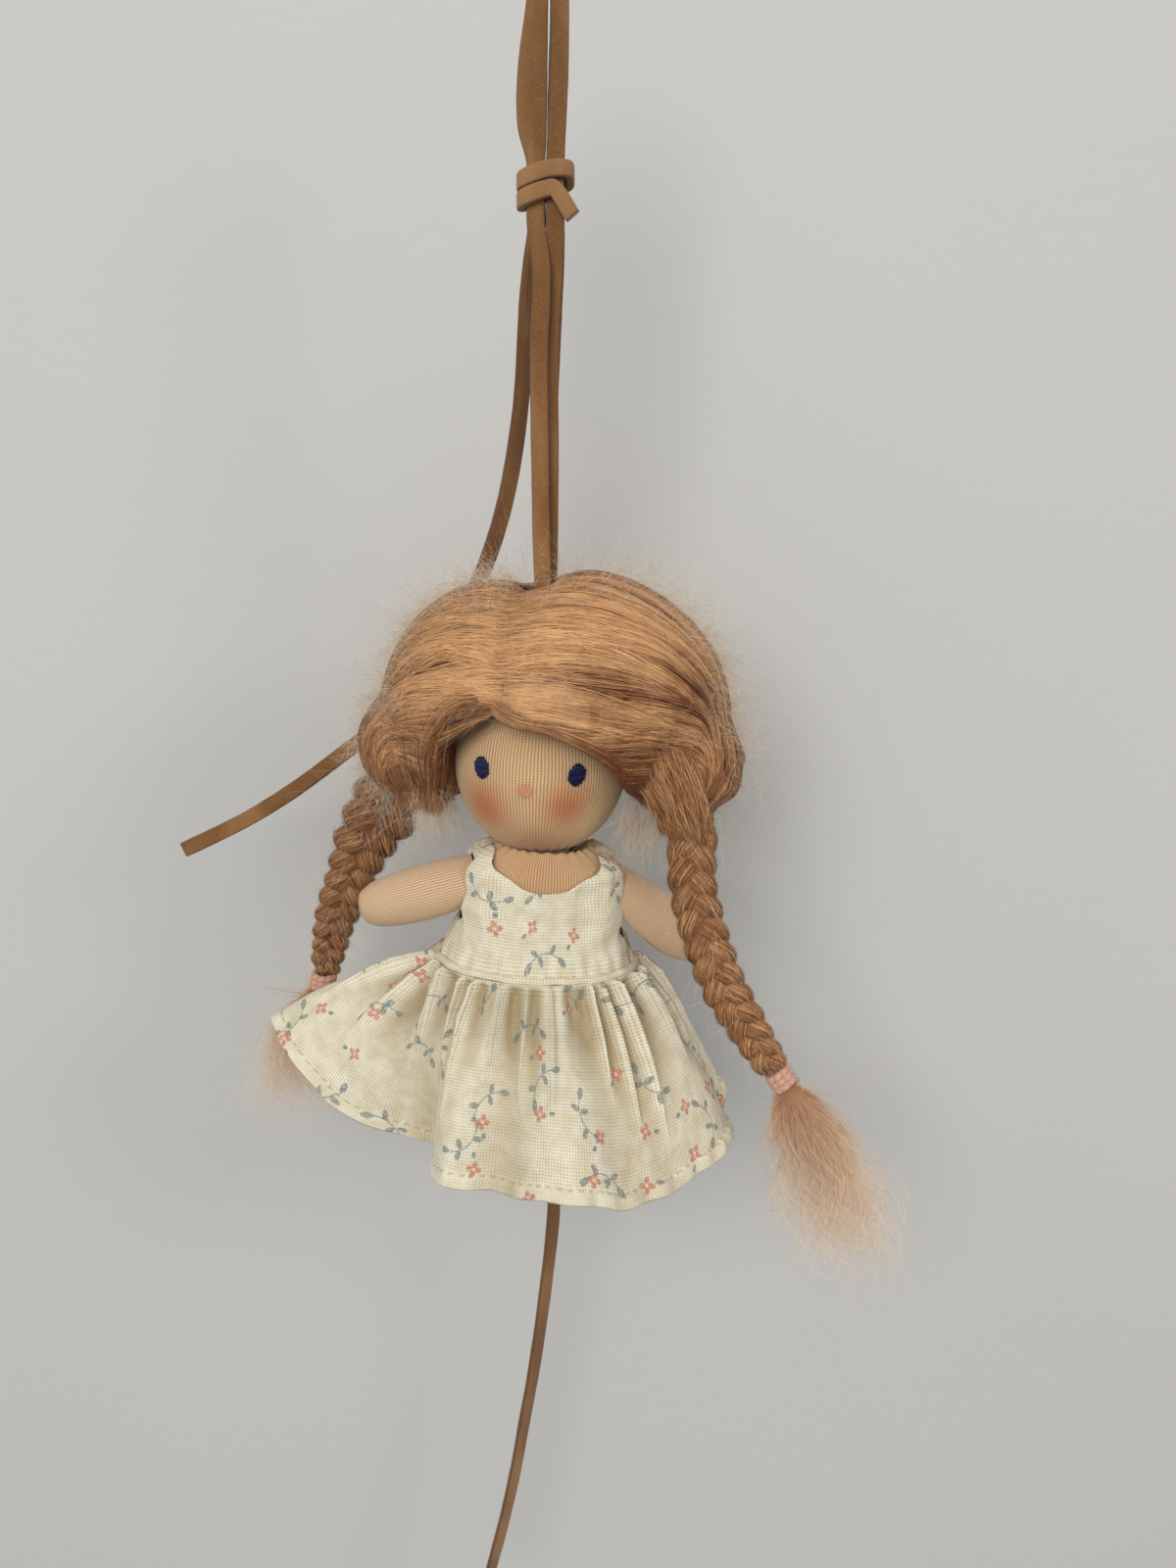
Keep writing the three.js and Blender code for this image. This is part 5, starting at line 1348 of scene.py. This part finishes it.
def braid(side, word, lump, loose):
    """Three strands plaited, each a core with fibres laid along it, and the tuft below them."""
    local = np.random.default_rng(40 + side)
    body, rows, sides = f"braid_{word}", 260, 16
    start = placed(BUNCHES[side], HEAD)
    line, length = centripetal(start + BUNCH_R * np.array(STATIONS[side]), rows)
    shares = BRAID_HALF_SHARES[side]
    half = BRAID_WIDE * np.interp(np.linspace(0, 1, rows), np.linspace(0, 1, len(shares)), shares)
    t = tangents(line)
    across = unit(np.cross(t, [0, 1, 0]))
    back = np.cross(across, t)
    back *= np.sign(back[:, 1:2])
    phase = 2 * np.pi * np.cumsum(1 / (lump * half)) * length / rows
    cores, rings = [], []
    for k in range(3):
        p = phase + 2 * np.pi * k / 3
        to_side = 0.50 * half * np.sin(p) * (1 + loose * 0.12 * np.sin(2.3 * p + k))
        to_back = 0.30 * half * np.sin(2 * p)
        centre = line + to_side[:, None] * across - to_back[:, None] * back
        ct = tangents(centre)
        side_v = unit(np.cross(ct, back))
        swell = half * (1 + 0.10 * np.sin(2 * p + 0.6))
        wide, deep = 0.47 * swell, 0.36 * swell
        rings.append(tube(centre, wide * 0.93, sides, across=side_v, depth=deep * 0.93))
        cores.append((centre, side_v, np.cross(side_v, ct), wide[:, None], deep[:, None]))
    fitted(tubes_piece(f"plait_{word}", np.array(rings), HAIR_MASS_SHADED, 3, "across"), "mohair", body, body)
    plait_fibres(word, body, cores, loose, local)
    plait_fuzz(word, body, cores, t, loose, local)
    band_and_tuft(side, word, body, line[-1], unit(line[-1] - line[-8]), local)


def plait_fibres(word, body, cores, loose, local):
    """Fibres that lie along the three cores."""
    count, steps, last = 5200, 22, len(cores[0][0]) - 1
    k = local.integers(0, 3, count)[:, None]
    s = np.linspace(0, 1, steps)[None, :]
    reach = local.uniform(0.14, 0.34, (count, 1))
    at = np.clip(local.uniform(-0.1, 1.0, (count, 1)) + reach * s, 0, 1) * last
    i = np.clip(at.astype(int), 0, last - 1)
    f = (at - i)[..., None]
    centre, side_v, out_v, wide, deep = (
        values[k, i] * (1 - f) + values[k, i + 1] * f for values in map(np.array, zip(*cores))
    )
    angle = local.uniform(0, 2 * np.pi, (count, 1)) + local.normal(0, 0.5, (count, 1)) * reach * 3 * s
    lump = 1 + local.normal(0.0, 0.05 + 0.05 * loose, (count, 1))
    wave = s * local.uniform(6, 20, (count, 1)) + local.uniform(0, 6, (count, 1))
    ends = (2 * s - 1) ** 8 * local.uniform(0, 0.35 + 0.3 * loose, (count, 1))
    cos, sin = np.cos(angle)[..., None], np.sin(angle)[..., None]
    ring = wide * cos * side_v + deep * sin * out_v
    fibres = centre + ring * (lump + 0.05 * np.sin(wave) + ends)[..., None]
    tone = np.clip(local.normal(0.57, 0.17, (count, 1)) + 0.20 * np.sin(angle), 0.0, 1.0)
    width = local.uniform(0.09, 0.17, count)
    facing = unit(cos * side_v + sin * out_v)
    strand_piece(f"plait_fibres_{word}", body, fibres, width, tone, HAIR, facing)


def plait_fuzz(word, body, cores, t, loose, local):
    """Short fibres that stand off the plait."""
    count, steps = 420, 10
    pick = local.integers(6, 255, count)
    k = local.integers(0, 3, count)
    a = local.uniform(0, 2 * np.pi, (count, 1))
    centre, side_v, out_v, wide, deep = (np.array(values)[k, pick] for values in zip(*cores))
    out = np.cos(a) * side_v + np.sin(a) * out_v
    root = centre + wide * np.cos(a) * side_v + deep * np.sin(a) * out_v
    long = local.gamma(3.0, 1.1 + 0.5 * loose, (count, 1, 1)) + 1
    u = np.linspace(0, 1, steps)[None, :, None]
    lean = unit(out * local.uniform(0.3, 1, (count, 1)) + t[pick] + local.normal(0, 0.5, (count, 3)))
    curl = local.normal(0, 1, (count, 1, 3))
    fuzz = root[:, None] + long * (lean[:, None] * u + 0.22 * curl * u**1.6)
    strand_piece(f"plait_fuzz_{word}", body, fuzz, 0.05, local.uniform(0.2, 1, count), HAIR_WISP_GLOW)


def band_and_tuft(side, word, body, end, down, local):
    """The elastic wound round the end of a braid, and the clumped loose hair below it."""
    across = unit(np.cross(down, [0, 1, 0]))
    back = np.cross(down, across)
    a = np.linspace(0, 6 * np.pi, 120)[:, None]
    turn = np.cos(a) * across + np.sin(a) * back
    coil = end + down * 3.0 + 2.05 * turn + down * (a / a[-1] - 0.5) * 3.4
    elastic = tubes_piece(f"elastic_{word}", tube(coil, 0.76, 10)[None], ELASTIC, 30)
    fitted(elastic, "elastic", body, f"braid_tie_{word}")

    count, steps, clumps = 2200, 30, 46
    fall = TUFT_FALL[side]
    flat = unit(np.cross(fall, [0, 1, 0]))
    thick = np.cross(fall, flat)
    s = np.linspace(0, 1, steps)[None, :, None]
    clump = local.integers(0, clumps, count)
    aim = local.normal(0, 0.75, (clumps, 2))
    aim[:, 0] += side * 0.55 * np.abs(aim[:, 1])
    aim = aim / np.maximum(1, np.linalg.norm(aim, axis=1, keepdims=True) / 1.5)
    spot = aim[clump] + local.normal(0, 0.24, (count, 2))
    whole = TUFT_LONG[side]
    reach = whole * np.clip(local.beta(1.5, 2.0, (count, 1, 1)) * 1.3, 0.14, 1.1)
    fan = (1 - np.exp(-2.6 * s * reach / whole)) / (1 - math.exp(-2.6))
    sideways = fan * (spot[:, None, :1] * 6.4 * flat + spot[:, None, 1:] * 4.6 * thick)
    phase = local.uniform(0, 6.28, (clumps, 1, 2))[clump] + local.normal(0, 0.4, (count, 1, 2))
    pitch = local.uniform(10.0, 20.0, (clumps, 1, 1))[clump]
    wave = np.sin(2 * np.pi * s * reach / pitch + phase) - np.sin(phase)
    grow = np.clip(s * reach / 14, 0, 1.8) * local.uniform(0.6, 2.0, (count, 1, 1))
    curl = grow * (wave[..., :1] * flat + wave[..., 1:] * thick)
    stray = local.normal(0, 1, (count, 1, 3)) * (s**2.2) * local.gamma(1.5, 1.6, (count, 1, 1))
    root = end + down * 4.6 + (spot * 0.9) @ np.array([flat, thick])
    fibres = root[:, None] + unit(down * 0.5 + fall) * reach * s + sideways + curl + stray
    # painted shade at the dense root, painted light towards the thin ends
    tone = np.clip(local.normal(0.30, 0.14, (count, 1)) + 1.2 * s[..., 0] * reach[..., 0] / whole, 0, 1.1)
    width = local.uniform(0.04, 0.07, count)
    left, right = (corner[0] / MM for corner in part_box(f"tuft_{word}"))
    x = fibres[..., 0]
    near = (x.min(1) > left - STRAY_ROOM) & (x.max(1) < right + STRAY_ROOM)
    strand_piece(
        f"loose_end_{word}", body, fibres[near], width[near], tone[near], HAIR_END_PAINTED_LIGHT, nodes=[f"tuft_{word}"]
    )


def gathering(side, word, tree):
    """Fibres from the front of the mass into the top of the braid, over the hollow between them."""
    local = np.random.default_rng(90 + side)
    count, steps = 1300, 18
    s = np.linspace(0, 1, steps)[None, :, None]
    x, z = side * local.uniform(20.5, 31, count), local.uniform(-4, 8, count)
    start, facing = snapped(tree, placed(np.column_stack([x, 0 * x - 16.0, z]), HEAD))
    bunch = placed(BUNCHES[side], HEAD)
    top = bunch + BUNCH_R * np.array(STATIONS[side][1])
    share = (np.abs(x) - 25.8) / 5.3
    end = top + np.column_stack([side * 3.0 * share, -2.8 + 1.8 * share**2, local.uniform(-2, 3, count)])
    middle = (start + end) / 2 + facing * 1.8 + [0, -1.0, 0.6]
    paths = start[:, None] * (1 - s) ** 2 + 2 * middle[:, None] * s * (1 - s) + end[:, None] * s**2
    stray = local.normal(0, 1, (count, 1, 3))
    stray = stray * np.sin(2 * np.pi * s * local.uniform(0.4, 1.6, (count, 1, 1)) + x[:, None, None])
    paths = paths + 0.45 * stray + local.normal(0, 0.25, (count, 1, 3))
    paths = paths + facing[:, None] * (0.5 * np.sin(np.pi * s) - 0.25)
    tone = np.clip(local.normal(0.34, 0.17, (count, 1)) + 0.10 * s[..., 0], 0, 1)
    front = unit(facing + [0, -1.0, 0.2])[:, None]
    width = local.uniform(0.06, 0.12, count)
    piece = strand_piece(f"gathered_hair_{word}", None, paths, width, tone, HAIR, front)
    tuple(bunch * MM)
    tuple(top * MM)
    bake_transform(piece)


def wisps(side, word, count):
    """Loose hair that hangs from under the mass beside the face."""
    local = np.random.default_rng(60 + side)
    s = np.linspace(0, 1, 18)[None, :, None]
    x = side * local.uniform(16.5, 23.0, count)
    root = placed(np.column_stack([x, local.uniform(-9, 5, count), local.uniform(-9.5, -4, count)]), HEAD)
    long = local.gamma(3.0, 2.0, (count, 1, 1)) + 2
    way = unit(np.array([-side * 0.12, -0.05, -1]) + local.normal(0, 0.30, (count, 1, 3)))
    curl = local.normal(0, 1, (count, 2, 1, 3))
    turn = np.sin(2 * np.pi * s * local.uniform(0.6, 1.8, (count, 1, 1)) + local.uniform(0, 6, (count, 1, 1)))
    paths = root[:, None] + long * (way * s + 0.20 * curl[:, 0] * s**1.7) + 1.1 * curl[:, 1] * turn * s
    strand_piece(f"wisps_{word}", "head", paths, 0.036, local.uniform(0, 1, count), HAIR_WISP_GLOW)


TREES = {-1: hair_side(-1, "left", 72, 88), 1: hair_side(1, "right", 83, 84)}
parting_cover(TREES)
gathering(1, "right", TREES[1])
braid(-1, "left", 2.7, 0.6)
braid(1, "right", 2.9, 0.3)
wisps(-1, "left", 420)
wisps(1, "right", 420)

# ---------------------------------------------------------------- stage and light
FAR, WALL_Y, FLOOR_Z, WALL_TOP = 3000, 62, -1300, 1500


def stage():
    """The wall and the floor, the sky's light and two lamps."""
    n = Nodes("wall", (198, 197, 194), 0.95)
    n.clear_from_behind()
    tint = n.mix(n.noise(9, 2), (199, 198, 195), (194, 193, 190))
    wall = n.finished(tint, n.noise(260, 4), 0.4, 0.25)
    low = [[-FAR, WALL_Y, FLOOR_Z], [FAR, WALL_Y, FLOOR_Z]]
    high = [[FAR, WALL_Y, WALL_TOP], [-FAR, WALL_Y, WALL_TOP]]
    near = [[-FAR, -FAR, FLOOR_Z], [FAR, -FAR, FLOOR_Z]]
    back = mesh_piece("backdrop", low + high, [[0, 1, 2, 3]], wall, shade=False)
    floor = mesh_piece("floor", near + low[::-1], [[0, 1, 2, 3]], wall, shade=False)
    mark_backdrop(back, floor)
    world = bpy.data.worlds.new("world")
    bpy.context.scene.world = world
    world.use_nodes = True
    sky = world.node_tree.nodes["Background"].inputs
    sky["Color"].default_value, sky["Strength"].default_value = (0.97, 0.985, 1, 1), 0.52
    target = (0, 0, -0.16)
    area_light("key", (-0.28, -1.13, 0.36), target, 0.7, 9.8, (1.0, 0.985, 0.96))
    area_light("side", (0.95, -0.80, 0.34), target, 0.36, 2.9, (1.0, 0.975, 0.94))
    bpy.context.scene.view_settings.view_transform = "Standard"


stage()

low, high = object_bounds()
